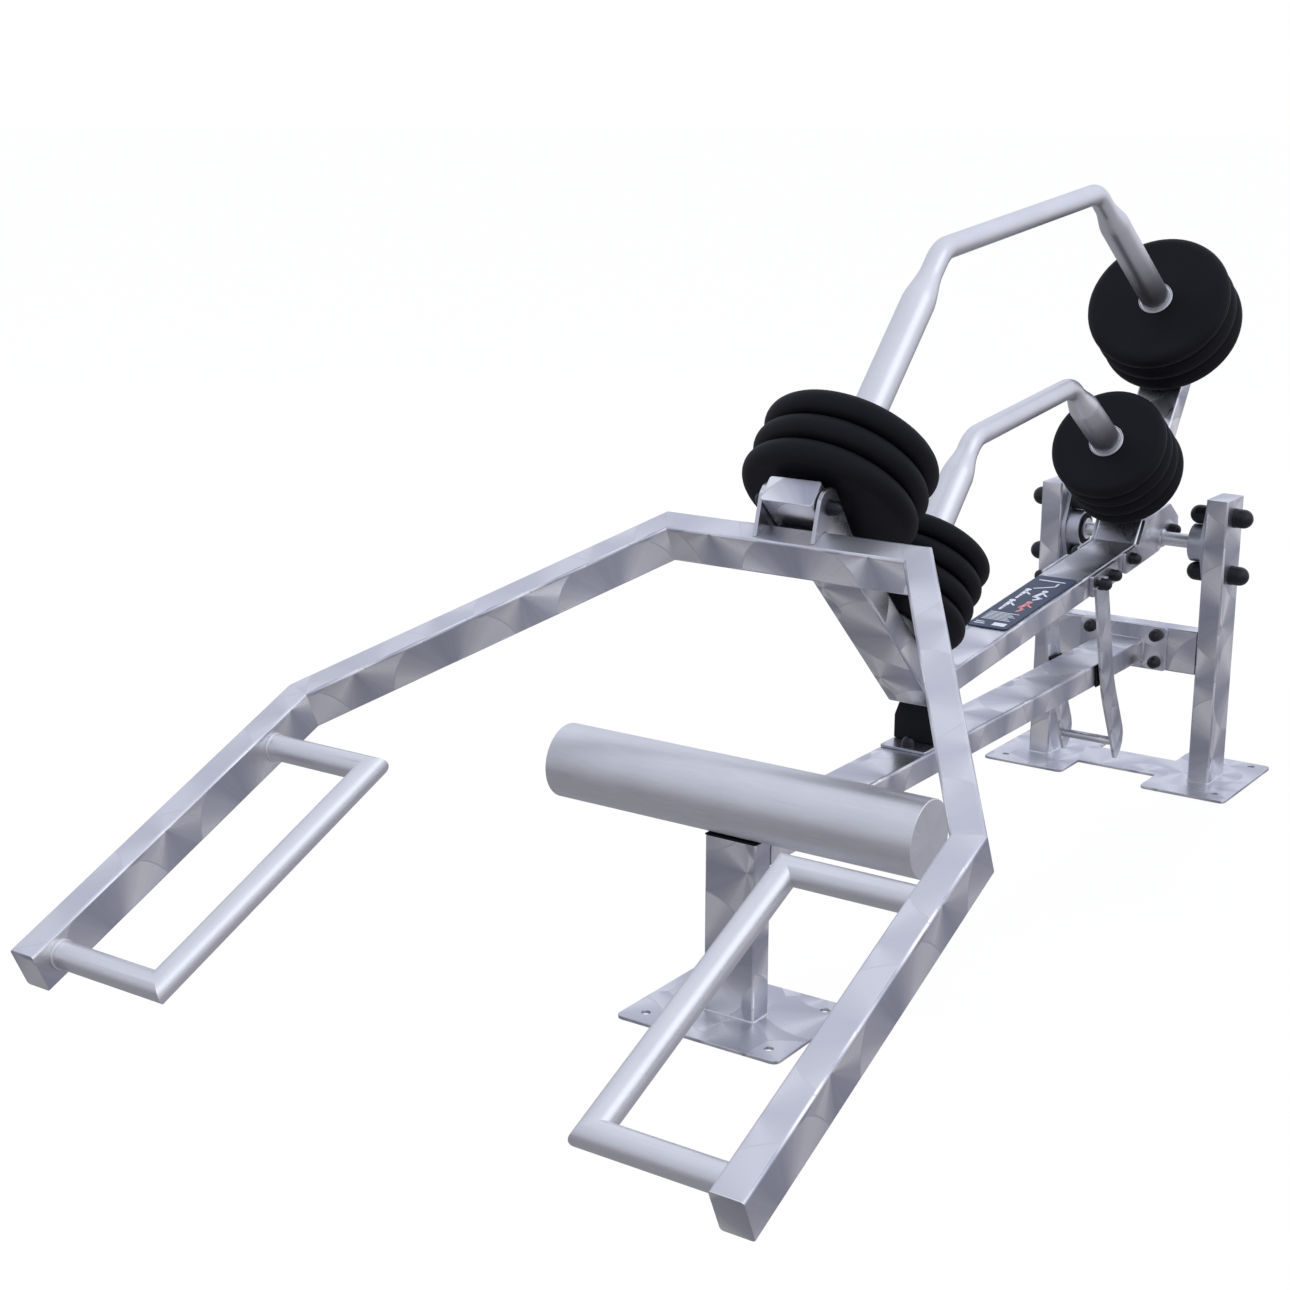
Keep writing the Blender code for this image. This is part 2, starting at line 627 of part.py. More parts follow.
def make_stop_bail(steel, lever, plastic, beam):
    """Two bent flat legs astride the low beam, joined by a rod that meets it from below."""
    spacer, leg_half, rod_radius, overlap = 0.006, 0.025, 0.0075, 0.001
    inner = TUBE_WIDE / 2 + GAP
    leg_face = inner + spacer
    bolts = (0.1965, 0.2490)
    bolt_b = -TUBE_THIN / 2
    upper_lean, lower_lean = math.radians(9), math.radians(22)
    upper_run, bend_run, lower_run = 0.170, 0.055, 0.132

    def leg_centre(distance):
        """Point on the leg's centre line and its direction: straight, then an arc, then straight."""
        along, lean = min(distance, upper_run), upper_lean
        a = 0.2030 + along * math.sin(lean)
        b = bolt_b - along * math.cos(lean)
        if distance > upper_run:
            radius = bend_run / (lower_lean - upper_lean)
            lean = upper_lean + min(distance - upper_run, bend_run) / radius
            a += radius * (math.cos(upper_lean) - math.cos(lean))
            b -= radius * (math.sin(lean) - math.sin(upper_lean))
        direction = Vector((math.sin(lean), -math.cos(lean)))
        return Vector((a, b)) + direction * max(distance - upper_run - bend_run, 0.0), direction

    def leg_side(distance, half):
        point, direction = leg_centre(distance)
        return point + Vector((-direction.y, direction.x)) * half

    # The tip is cut round behind: its rear corner has a wide radius, its front one a small one.
    length = upper_run + bend_run + lower_run
    tip_radius, tip_steps = 0.040, 4
    straight = [0.0, upper_run, upper_run + bend_run / 2, upper_run + bend_run]
    rear_edge = [leg_side(distance, leg_half) for distance in straight]
    for k in range(tip_steps + 1):
        angle = math.pi / 2 * k / tip_steps
        distance = length - tip_radius * (1 - math.sin(angle))
        rear_edge.append(leg_side(distance, leg_half - tip_radius * (1 - math.cos(angle))))
    front_edge = [leg_side(length, -leg_half + 0.006), leg_side(length - 0.006, -leg_half)]
    front_edge += [leg_side(distance, -leg_half) for distance in reversed(straight)]
    outline = [(p.x - PIVOT_A, p.y - PIVOT_B) for p in rear_edge + front_edge]
    head = rectangle(0.172, 0.276, -0.0385, -0.0015)
    head = [(a - PIVOT_A, b - PIVOT_B) for a, b in rounded(head, 0.004, 2)]

    rod_centre = lever_point(0, *leg_side(length - 0.034, -0.012))
    reach = leg_face + BRACKET_PLATE
    path = [rod_centre - X * (reach - overlap), rod_centre + X * (reach - overlap)]
    bail = add_object(
        "stop_bail", mesh_from("stop_bail", *ring_sweep(path, [rod_radius] * 2, Y, 16)), steel, lever
    )
    for side, sign in both_sides():
        for part, shape, start, thick in (
            ("leg", outline, leg_face, BRACKET_PLATE),
            ("head", head, inner, spacer + overlap),
        ):
            name = f"bail_{part}_{side}"
            points, faces = sheet_solid(shape, Y, Z, X * sign, X * sign * start, thick)
            piece = add_object(name, mesh_from(name, points, faces), None, lever)
            piece.hide_render = True
            piece.display_type = "WIRE"
            boolean(bail, piece, "UNION")
    half_grip = reach + GAP
    for end, a in zip(("front", "rear"), bolts):
        centre = lever_point(0, a, bolt_b)
        for obj, tag in ((bail, "bail"), (beam, "beam")):
            drill(obj, f"{tag}_bolt_hole_{end}", centre - X * 0.06, centre + X * 0.06, BOLT_HOLE, lever)
        grip = half_grip if end == "front" else inner + spacer + overlap + GAP
        cap_bolt(f"bail_bolt_{end}", plastic, lever, centre, X, grip, SMALL_BOLT)


def make_info_plate(dark, lever):
    half_length, half_width, thick = 0.137, 0.035, 0.002
    corners = rectangle(-half_width, half_width, -half_length, half_length)
    start = lever_point(0, 0, GAP)
    points, faces = sheet_solid(rounded(corners, 0.007), X, Y, Z, start, thick)
    add_object("info_plate", mesh_from("info_plate", points, faces), dark, lever)


# --- Weight plates --------------------------------------------------------------------------------
def plate_mesh(name, size, rubber):
    """A disc with a bore and a fully round rim, turned about Z."""
    half, rim_steps = size["thick"] / 2, 3
    centre = size["radius"] - half
    profile = [(PLATE_BORE, -half)]
    for k in range(rim_steps + 1):
        angle = math.pi * (k / rim_steps - 0.5)
        profile.append((centre + half * math.cos(angle), half * math.sin(angle)))
    profile.append((PLATE_BORE, half))
    mesh = mesh_from(name, *turned(profile, 28), smooth=True)
    mesh.materials.append(rubber)
    return mesh


def make_stack(name, lever, mesh, size, end, up_arm, collar, count):
    """Plates on one sleeve, numbered outwards from the arm; each carries the next one."""
    along = (arm_point(end, 0, 0, 1) - arm_point(end, 0, 0, 0)).normalized()
    turn = Z.rotation_difference(along).to_matrix().to_4x4()
    pitch = size["thick"] + GAP
    first = TUBE_THIN + GAP + collar + GAP + size["thick"] / 2
    carrier = lever
    carrier_place = Matrix.Identity(4)
    for i in range(count):
        place = Matrix.Translation(arm_point(end, 0, up_arm, first + i * pitch)) @ turn
        plate = add_object(f"{name}_{i + 1}", mesh, None, carrier)
        plate.matrix_local = carrier_place.inverted() @ place
        carrier, carrier_place = plate, place


# --- Yoke -----------------------------------------------------------------------------------------
def make_yoke_frame(steel, yoke):
    """Five mitred tubes in one plane, their outer edges along the named corners."""
    outer = [
        Vector((-YOKE_RAIL_HALF, YOKE_BACK - RAIL_FRONT, 0)),
        Vector((-YOKE_RAIL_HALF, YOKE_BACK - RAIL_REAR, 0)),
        Vector((-YOKE_BACK_HALF, YOKE_BACK, 0)),
        Vector((YOKE_BACK_HALF, YOKE_BACK, 0)),
        Vector((YOKE_RAIL_HALF, YOKE_BACK - RAIL_REAR, 0)),
        Vector((YOKE_RAIL_HALF, YOKE_BACK - RAIL_FRONT, 0)),
    ]
    names = ["yoke_rail_left", "yoke_diagonal_left", "yoke_back_beam"]
    names += ["yoke_diagonal_right", "yoke_rail_right"]
    directions = [(q - p).normalized() for p, q in zip(outer, outer[1:])]
    down = Z * (YOKE_TOP - YOKE_DEPTH)
    for i, name in enumerate(names):
        along = directions[i]
        across = Vector((along.y, -along.x, 0))
        start_mitre = math.tan(directions[i - 1].angle(along) / 2) if i else 0.0
        end_mitre = math.tan(along.angle(directions[i + 1]) / 2) if i + 1 < len(names) else 0.0
        trim_start = GAP if i else 0.0
        trim_end = GAP if i + 1 < len(names) else 0.0
        length = (outer[i + 1] - outer[i]).length - trim_start - trim_end
        corner = outer[i] + along * trim_start + down
        tube_object(
            name, steel, yoke, corner, along, across, Z, length, YOKE_TUBE, YOKE_DEPTH,
            start_slope=start_mitre, end_slope=-end_mitre,
            cap_start=i == 0, cap_end=i + 1 == len(names),
        )


def make_handles(steel, yoke):
    root = YOKE_RAIL_HALF - YOKE_TUBE - GAP
    middle = YOKE_TOP - YOKE_DEPTH / 2
    for side, sign in both_sides():
        path = [
            Vector((sign * root, YOKE_BACK - GRIP_REAR, middle)),
            Vector((sign * GRIP_X, YOKE_BACK - GRIP_REAR, middle)),
            Vector((sign * GRIP_X, YOKE_BACK - GRIP_FRONT, middle)),
            Vector((sign * root, YOKE_BACK - GRIP_FRONT, middle)),
        ]
        points, faces = ring_sweep(path, [GRIP_RADIUS] * 4, Z, 20, 0.0025)
        name = f"handle_{side}"
        add_object(name, mesh_from(name, points, faces, True), steel, yoke)


def make_clevis(steel, yoke, plastic):
    """Two ears that hook over the back beam, and the bolt that joins them to the front arm."""
    top, back, hub, rear = YOKE_TOP + GAP, YOKE_BACK + GAP, 0.027, (0.040, -0.074)
    front = (YOKE_BACK - 0.032, top)
    crown = [(hub * math.cos(t), hub * math.sin(t)) for t in (math.radians(150 - 24 * k) for k in range(6))]
    outline = [front] + crown + [rear, (back, rear[1]), (back, top)]
    for side, sign in both_sides():
        name = f"yoke_ear_{side}"
        points, faces = sheet_solid(outline, Y, Z, X * sign, X * sign * EAR_INNER, EAR_THICK)
        ear = add_object(name, mesh_from(name, points, faces), steel, yoke)
        drill(ear, f"{name}_hole", X * sign * 0.03, X * sign * 0.06, BOLT_HOLE, yoke)
    cap_bolt("hinge_bolt", plastic, yoke, Vector(), X, EAR_INNER + EAR_THICK + GAP, SMALL_BOLT)


def make_yoke_stop(rubber, lever, yoke_in_lever):
    """The rubber wedge on the front arm that the back beam leans on."""
    half_width, high, low = 0.030, YOKE_TOP - 0.006, YOKE_TOP - 0.046
    to_yoke = yoke_in_lever.inverted()
    face_a = to_yoke @ arm_point(-1, 0, 0.2, -GAP)
    face_b = to_yoke @ arm_point(-1, 0, 0.5, -GAP)

    def on_arm(n):
        share = (n - face_a.z) / (face_b.z - face_a.z)
        return face_a.y + share * (face_b.y - face_a.y)

    section = [(YOKE_BACK + GAP, high), (on_arm(high), high), (on_arm(low), low), (YOKE_BACK + GAP, low)]
    points, faces = sheet_solid(section, Y, Z, X, X * -half_width, 2 * half_width)
    points = [yoke_in_lever @ p for p in points]
    add_object("yoke_stop_pad", mesh_from("yoke_stop_pad", points, faces), rubber, lever)


# --- Assembly -------------------------------------------------------------------------------------
def build():
    clear_scene()
    steel = material("satin_stainless", (0.62, 0.63, 0.68), 0.35, 1.0)
    round_steel = material("brushed_stainless", (0.66, 0.67, 0.72), 0.30, 1.0)
    cast = material("cast_housing", (0.55, 0.56, 0.60), 0.45, 1.0)
    rubber = material("black_rubber", (0.015, 0.015, 0.018), 0.65, 0.0)
    plastic = material("black_cap", (0.010, 0.012, 0.016), 0.35, 0.0)
    dark = material("slate_plate", (0.07, 0.09, 0.13), 0.45, 0.0)

    make_rear_base(steel)
    make_front_base(steel)
    make_posts(steel)
    make_beams(steel)
    make_roller(round_steel, rubber)
    make_bumper(steel, rubber, plastic)
    make_guide_pads(rubber)
    make_bearings(cast, plastic)

    lever = add_empty("lever_pivot", (0, POST_Y, PIVOT_Z), LEVER_TILT)
    beam = make_lever_frame(steel, lever)
    upper_collar, lower_collar = 0.011, 0.018
    upper, lower = UPPER_BAR_ON_ARM, LOWER_BAR_ON_ARM
    make_bar("upper_weight_bar", round_steel, lever, upper, UPPER_BAR_TOP, upper_collar, 0.098, 0.045)
    make_bar("lower_weight_bar", round_steel, lever, lower, LOWER_BAR_TOP, lower_collar, 0.072, 0.028)
    make_side_plates(steel, lever, plastic, beam)
    make_shaft(round_steel, lever)
    make_stop_bail(steel, lever, plastic, beam)
    make_info_plate(dark, lever)

    large = plate_mesh("large_plate", LARGE_PLATE, rubber)
    small = plate_mesh("small_plate", SMALL_PLATE, rubber)
    for end, where in ((-1, "front"), (1, "rear")):
        make_stack(f"large_plate_{where}", lever, large, LARGE_PLATE, end, upper, upper_collar, 3)
        make_stack(f"small_plate_{where}", lever, small, SMALL_PLATE, end, lower, lower_collar, 4)

    hinge = arm_point(-1, 0, FRONT_ARM_LENGTH - HINGE_FROM_ARM_END, TUBE_THIN / 2)
    yoke = add_empty("yoke_hinge", hinge, YOKE_TILT - LEVER_TILT, lever)
    yoke_in_lever = Matrix.Translation(hinge) @ Matrix.Rotation(YOKE_TILT - LEVER_TILT, 4, "X")
    make_yoke_frame(steel, yoke)
    make_handles(round_steel, yoke)
    make_clevis(steel, yoke, plastic)
    make_yoke_stop(rubber, lever, yoke_in_lever)


build()
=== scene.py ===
"""Finish of the outdoor hack squat machine: polished stainless tube, round brushed bars, rubber weights."""

import json
import math
import random

import bmesh
import bpy
from mathutils import Matrix, Vector


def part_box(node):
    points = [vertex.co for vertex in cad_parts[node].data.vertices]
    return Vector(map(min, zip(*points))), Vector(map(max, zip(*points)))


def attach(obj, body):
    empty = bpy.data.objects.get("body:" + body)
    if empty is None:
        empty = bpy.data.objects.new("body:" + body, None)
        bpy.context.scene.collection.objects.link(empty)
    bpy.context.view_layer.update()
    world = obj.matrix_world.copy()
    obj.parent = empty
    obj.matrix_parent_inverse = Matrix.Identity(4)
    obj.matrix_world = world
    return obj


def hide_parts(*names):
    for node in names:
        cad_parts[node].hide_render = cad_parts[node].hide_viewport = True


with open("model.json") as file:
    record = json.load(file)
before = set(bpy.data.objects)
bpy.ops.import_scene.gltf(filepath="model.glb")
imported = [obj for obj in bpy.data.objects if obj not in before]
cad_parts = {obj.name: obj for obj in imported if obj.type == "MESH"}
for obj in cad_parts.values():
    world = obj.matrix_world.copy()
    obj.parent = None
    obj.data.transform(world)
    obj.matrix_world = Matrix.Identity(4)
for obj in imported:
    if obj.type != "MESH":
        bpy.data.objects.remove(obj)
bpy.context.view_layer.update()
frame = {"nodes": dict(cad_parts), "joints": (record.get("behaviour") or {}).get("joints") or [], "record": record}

NODES = frame["nodes"]
JOINTS = {joint["name"]: joint for joint in frame["joints"]}
BODY_OF = {node: body for body, nodes in frame["record"]["behaviour"]["bodies"].items() for node in nodes}
SLOT_OF = {part["node"]: part["material_slot"] for part in frame["record"]["subparts"]}
X, Y, Z = Vector((1, 0, 0)), Vector((0, 1, 0)), Vector((0, 0, 1))
SIDES = (("left", -1), ("right", 1))

# --- Sizes, in metres -----------------------------------------------------------------------------
TUBE_CORNER = 0.0045
CAP_EDGE = 0.0012
SHEET_EDGE = 0.0008
SEAM = 0.0003
BEAM_HALF = 0.3888
BEAM_DEPTH = 0.040
ARM_LEAN = math.radians(50.0)
PIVOT_A, PIVOT_B = 0.4836, -0.020
SLEEVE_RADIUS = 0.025
BEND_TUBE_RADIUS = 0.01685
BEND_RADIUS = 0.055
COLLAR_RADIUS = 0.034
YOKE_TILT = math.radians(24.07)
YOKE_BACK, YOKE_MIDDLE = -0.0214, -0.0512
YOKE_INNER_FACE = 0.4668
GRIP_X, GRIP_RADIUS = 0.3035, 0.01685
GRIP_REAR, GRIP_FRONT = 0.5733, 0.9702
POST_Y, PIVOT_Z = JOINTS["lever_lift"]["pos_m"][1:]

# The lever's own directions: its up axis halves the angle between its two arms' inward normals.
FRONT_INWARD = Vector(JOINTS["large_front_1_slide"]["axis"]).normalized()
REAR_INWARD = Vector(JOINTS["large_rear_1_slide"]["axis"]).normalized()
LEVER_UP = (FRONT_INWARD + REAR_INWARD).normalized()
LEVER_ALONG = LEVER_UP.cross(X).normalized()
PIVOT = Vector((0, POST_Y, PIVOT_Z))
HINGE = Vector(JOINTS["yoke_swing"]["pos_m"])
YOKE_ALONG = Vector((0, math.cos(YOKE_TILT), math.sin(YOKE_TILT)))
YOKE_UP = Vector((0, -math.sin(YOKE_TILT), math.cos(YOKE_TILT)))


def lever_point(x, a, b):
    """A point of the lever: a runs rearwards from the main beam's middle, b up from its top face."""
    return PIVOT + X * x + LEVER_ALONG * (a - PIVOT_A) + LEVER_UP * (b - PIVOT_B)


def arm_point(end, x, up_arm, inward):
    """A point of an arm: end is -1 for the front arm and 1 for the rear one."""
    a = BEAM_HALF + up_arm * math.cos(ARM_LEAN) - inward * math.sin(ARM_LEAN)
    b = -BEAM_DEPTH + up_arm * math.sin(ARM_LEAN) + inward * math.cos(ARM_LEAN)
    return lever_point(x, end * a, b)


def yoke_point(x, s, n):
    """A point of the yoke: s runs rearwards in its plane from the hinge, n stands up from the plane."""
    return HINGE + X * x + YOKE_ALONG * s + YOKE_UP * n


# --- Materials ------------------------------------------------------------------------------------
class Wire:
    """A socket in a material's nodes. Operators add Math nodes, and add() puts in any other node."""

    def __init__(self, tree, socket=None):
        self.tree = tree
        self.socket = socket

    def add(self, kind, settings=None, values=None, output=0):
        node = self.tree.nodes.new("ShaderNode" + kind)
        for name, value in (settings or {}).items():
            if name == "stops":
                elements = node.color_ramp.elements
                while len(elements) < len(value):
                    elements.new(1.0)
                for element, (place, colour) in zip(elements, value):
                    element.position = place
                    element.color = (*colour, 1.0)
            else:
                setattr(node, name, value)
        for name, value in (values or {}).items():
            if isinstance(value, Wire):
                self.tree.links.new(value.socket, node.inputs[name])
            else:
                node.inputs[name].default_value = value
        return Wire(self.tree, node.outputs[output])

    def out(self, name):
        """Another output of the same node."""
        return Wire(self.tree, self.socket.node.outputs[name])

    def maths(self, operation, *values):
        clamp = operation == "CLAMPED"
        settings = {"operation": "ADD" if clamp else operation, "use_clamp": clamp}
        return self.add("Math", settings, dict(enumerate(values)))

    def vector(self, operation, *values, output=0):
        return self.add("VectorMath", {"operation": operation}, dict(enumerate(values)), output)

    def mix(self, low, high):
        """A colour between low and high, by this wire's number."""
        values = {"Factor": self, 6: low if isinstance(low, Wire) else (*low, 1.0)}
        values[7] = high if isinstance(high, Wire) else (*high, 1.0)
        return self.add("Mix", {"data_type": "RGBA"}, values, 2)

    def clamped(self):
        return self.maths("CLAMPED", self, 0.0)

    def __add__(self, other):
        return self.maths("ADD", self, other)

    def __sub__(self, other):
        return self.maths("SUBTRACT", self, other)

    def __mul__(self, other):
        return self.maths("MULTIPLY", self, other)

    def __rsub__(self, other):
        return self.maths("SUBTRACT", other, self)

    def __pow__(self, other):
        return self.maths("POWER", self, other)

    __radd__ = __add__
    __rmul__ = __mul__


def new_material(name, **fixed):
    """A material and the start of its wires; fixed names the shader's own constant sockets."""
    made = bpy.data.materials.new(name)
    made.use_nodes = True
    shader = made.node_tree.nodes["Principled BSDF"]
    for socket, value in fixed.items():
        shader.inputs[socket.replace("_", " ")].default_value = value
    return made, Wire(made.node_tree)


def feed(made, **wires):
    shader = made.node_tree.nodes["Principled BSDF"]
    for socket, wire in wires.items():
        made.node_tree.links.new(wire.socket, shader.inputs[socket.replace("_", " ")])
    return made


def noise(wire, vector, scale, detail=2.0, roughness=0.5):
    values = {"Vector": vector, "Scale": scale, "Detail": detail, "Roughness": roughness}
    return wire.add("TexNoise", None, values)


def disc_row(wire, sheet, spacing, place, radius):
    """A row of polishing discs along a face: direction and distance from the nearest centre, and a mask."""
    moved = wire.vector("SUBTRACT", sheet, (place[0], place[1], 0.0))
    lane = wire.add("SeparateXYZ", None, {"Vector": moved}, "X") * (1 / spacing) + 0.5
    cell = lane.maths("FLOOR", lane)
    centre = wire.add("CombineXYZ", None, {"X": cell * spacing, "Y": 0.0, "Z": 0.0})
    offset = wire.vector("SUBTRACT", moved, centre)
    return disc_marks(wire, offset, cell, radius)


def disc_field(wire, sheet, spacing, place, radius):
    """Polishing discs scattered over a wide plate, as disc_row gives them."""
    moved = wire.vector("SUBTRACT", sheet, (place[0], place[1], 0.0))
    settings = {"voronoi_dimensions": "2D", "feature": "F1"}
    values = {"Vector": moved, "Scale": 1 / spacing, "Randomness": 0.7}
    centre = wire.add("TexVoronoi", settings, values, "Position")
    cell = wire.add("SeparateXYZ", None, {"Vector": centre.out("Color")}, "X") * 9.0
    return disc_marks(wire, wire.vector("SUBTRACT", moved, centre), cell, radius)


def disc_marks(wire, offset, cell, radius):
    distance = wire.vector("LENGTH", offset, output="Value")
    inside = ((radius - 0.008 - distance) * 450.0).clamped()
    return wire.vector("NORMALIZE", offset), distance, cell, inside


def painted_fan_ray(wire, direction, degrees, narrow):
    """A pair of opposite rays from a disc's centre, for the painted highlight and shade of the fans: 1 along the given
    direction, less with the turn from it.
    """
    angle = math.radians(degrees)
    facing = wire.vector("DOT_PRODUCT", direction, (math.cos(angle), math.sin(angle), 0.0), output="Value")
    return facing.maths("ABSOLUTE", facing) ** narrow


def swirled_steel(name, dark, light, discs, spacing, lean):
    """Stainless sheet and flat tube, polished in overlapping circles; the fans of light that such polish catches are
    painted into the colour as highlight and shade rays.
    """
    made, wire = new_material(name, Metallic=1.0, Specular_IOR_Level=0.5)
    sheet = wire.add("UVMap", {"uv_map": "sheet"})
    # How deep the marks and the painted fan highlights are, face by face.
    depth = wire.add("SeparateXYZ", None, {"Vector": wire.add("UVMap", {"uv_map": "depth"})}, "X")
    layers = [
        discs(wire, sheet, spacing, (0.0, 0.027), 9.0),
        discs(wire, sheet, spacing, (spacing * 0.54, -0.050), 0.103),
        discs(wire, sheet, spacing, (-spacing * 0.22, 0.062), 0.050),
    ]
    direction, distance, cell, _ = layers[0]
    for over, over_distance, over_cell, inside in layers[1:]:
        direction = wire.add("Mix", {"data_type": "VECTOR"}, {"Factor": inside, 4: direction, 5: over}, 1)
        distance = distance * (1 - inside) + over_distance * inside
        cell = cell * (1 - inside) + over_cell * inside
    spoke = wire.add("CombineXYZ", None, {"X": 0.0, "Y": 0.0, "Z": cell * 3.7})
    spoke = wire.vector("ADD", spoke, wire.vector("MULTIPLY", direction, (1.6, 1.6, 0.0)))
    fine = noise(wire, spoke, 2.2, 3.0, 0.6)
    # Painted highlight: two bright rays through each disc's centre; the subtracted ray below is painted shade.
    bright = painted_fan_ray(wire, direction, -18, 34.0) * 0.62 + painted_fan_ray(wire, direction, 38, 13.0) * 0.50
    fan_polish_and_sheen = (0.44 + bright - painted_fan_ray(wire, direction, 99, 5.0) * 0.44 + (fine - 0.5) * 0.55).clamped()
    rings = noise(wire, wire.add("CombineXYZ", None, {"X": distance * 120.0, "Y": fan_polish_and_sheen * 2.0, "Z": 0.0}), 1.0, 3.0)
    stain = noise(wire, sheet, 7.0, 3.0)
    # The colour carries the painted highlight and shade of the fans, with real polishing rings and stains.
    tone = (0.52 + ((fan_polish_and_sheen - 0.47) * 1.0 + (rings - 0.5) * 0.07 + (stain - 0.5) * 0.30) * depth).clamped()

    geometry = wire.add("NewGeometry", None, None, "Normal")
    tangent = wire.add("Tangent", {"direction_type": "UV_MAP", "uv_map": "sheet"})
    side = wire.vector("CROSS_PRODUCT", geometry, tangent)
    along = wire.add("SeparateXYZ", None, {"Vector": direction}, "X")
    tilt = lean * depth * (0.35 + 0.65 * fan_polish_and_sheen)
    lean_along = wire.add("VectorMath", {"operation": "SCALE"}, {0: tangent, "Scale": along * tilt})
    lean_side = wire.add("VectorMath", {"operation": "SCALE"}, {0: side, "Scale": along.out("Y") * tilt})
    leant = wire.vector("ADD", wire.vector("ADD", geometry, lean_along), lean_side)
    normal = wire.vector("NORMALIZE", leant)
    bump = wire.add("Bump", None, {"Strength": 0.04, "Distance": 0.0004, "Height": rings, "Normal": normal})
    return feed(made, Base_Color=tone.mix(dark, light), Roughness=0.27 + 0.12 * (1 - fan_polish_and_sheen), Normal=bump)


def brushed_steel(name, dark, light, along_scale, around_scale):
    """Round bar, brushed along its length, with faint handling marks."""
    made, wire = new_material(name, Metallic=1.0)
    round_bar = wire.add("UVMap", {"uv_map": "sheet"})
    stretched = wire.vector("MULTIPLY", round_bar, (along_scale, around_scale, 1.0))
    grain = noise(wire, stretched, 1.0, 3.0, 0.6)
    marks = noise(wire, round_bar, 14.0, 3.0)
    tone = (grain * 0.55 + marks * 0.45).clamped()
    bump = wire.add("Bump", None, {"Strength": 0.14, "Distance": 0.0003, "Height": grain})
    return feed(made, Base_Color=tone.mix(dark, light), Roughness=0.31 + 0.10 * grain + 0.06 * marks, Normal=bump)


def black_rubber(name, base, worn, gloss, pebble):
    """Matte black rubber: a fine pebble, faint dust and slightly greyer high spots."""
    made, wire = new_material(name, Specular_IOR_Level=0.13)
    place = wire.add("TexCoord", None, None, "Object")
    grain = noise(wire, place, pebble, 4.0, 0.6)
    dust = noise(wire, place, 11.0, 4.0, 0.55)
    tone = (dust * 1.3 - 0.25).clamped() * 0.7 + grain * 0.3
    bump = wire.add("Bump", None, {"Strength": 0.35, "Distance": 0.0006, "Height": grain})
    return feed(made, Base_Color=tone.mix(base, worn), Roughness=gloss + 0.16 * grain + 0.08 * dust, Normal=bump)


def black_caps(name):
    made, wire = new_material(name, Specular_IOR_Level=0.4)
    place = wire.add("TexCoord", None, None, "Object")
    scuffs = noise(wire, place, 160.0, 4.0, 0.6)
    grain = noise(wire, place, 900.0, 2.0)
    bump = wire.add("Bump", None, {"Strength": 0.12, "Distance": 0.0003, "Height": grain})
    tone = scuffs.mix((0.002, 0.0025, 0.004), (0.009, 0.010, 0.013))
    return feed(made, Base_Color=tone, Roughness=0.24 + 0.18 * scuffs, Normal=bump)


def cast_housing(name):
    made, wire = new_material(name, Metallic=1.0)
    place = wire.add("TexCoord", None, None, "Object")
    pits = noise(wire, place, 420.0, 4.0, 0.65)
    cloud = noise(wire, place, 40.0, 3.0)
    bump = wire.add("Bump", None, {"Strength": 0.35, "Distance": 0.0006, "Height": pits})
    tone = (pits * 0.4 + cloud * 0.6).mix((0.42, 0.43, 0.48), (0.74, 0.75, 0.80))
    return feed(made, Base_Color=tone, Roughness=0.30 + 0.20 * pits, Normal=bump)


def sheet_print(name, base, lifted, gloss):
    """Printed plastic sheet: even ink with a slight cloud and a fine orange peel."""
    made, wire = new_material(name, Specular_IOR_Level=0.3)
    place = wire.add("TexCoord", None, None, "Object")
    cloud = noise(wire, place, 30.0, 3.0)
    peel = noise(wire, place, 700.0, 2.0)
    bump = wire.add("Bump", None, {"Strength": 0.10, "Distance": 0.0003, "Height": peel})
    return feed(made, Base_Color=cloud.mix(base, lifted), Roughness=gloss + 0.12 * peel, Normal=bump)


FINISHES = {
    # The lighter colour of each polished finish is the painted highlight of its fans, the darker one their painted
    # shade.
    "polished_tube": swirled_steel("polished_tube", (0.46, 0.465, 0.53), (0.96, 0.95, 0.94), disc_row, 0.245, 0.07),
    "polished_plate": swirled_steel("polished_plate", (0.46, 0.465, 0.52), (0.88, 0.88, 0.89), disc_field, 0.150, 0.07),
    "brushed_round": brushed_steel("brushed_round", (0.68, 0.68, 0.70), (0.95, 0.945, 0.94), 18.0, 1400.0),
    "bearing_housing": cast_housing("bearing_housing"),
    "black_rubber": black_rubber("black_rubber", (0.006, 0.006, 0.008), (0.014, 0.014, 0.017), 0.50, 500.0),
    "weight_rubber": black_rubber("weight_rubber", (0.0035, 0.0035, 0.005), (0.009, 0.009, 0.0115), 0.44, 700.0),
    "black_cap": black_caps("black_cap"),
    "slate_plate": sheet_print("slate_plate", (0.030, 0.042, 0.078), (0.046, 0.060, 0.102), 0.38),
}
PALE_PRINT = sheet_print("pale_print", (0.58, 0.61, 0.66), (0.72, 0.75, 0.80), 0.40)
RED_PRINT = sheet_print("red_print", (0.58, 0.20, 0.20), (0.68, 0.28, 0.27), 0.40)


# --- Pieces ---------------------------------------------------------------------------------------
def keep(obj, node=None, body=None):
    """Joins a piece to the machine: it stands for a CAD node, or rides on a body as an extra."""
    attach(obj, body or BODY_OF[node])
    if node:
        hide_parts(node)
    return obj


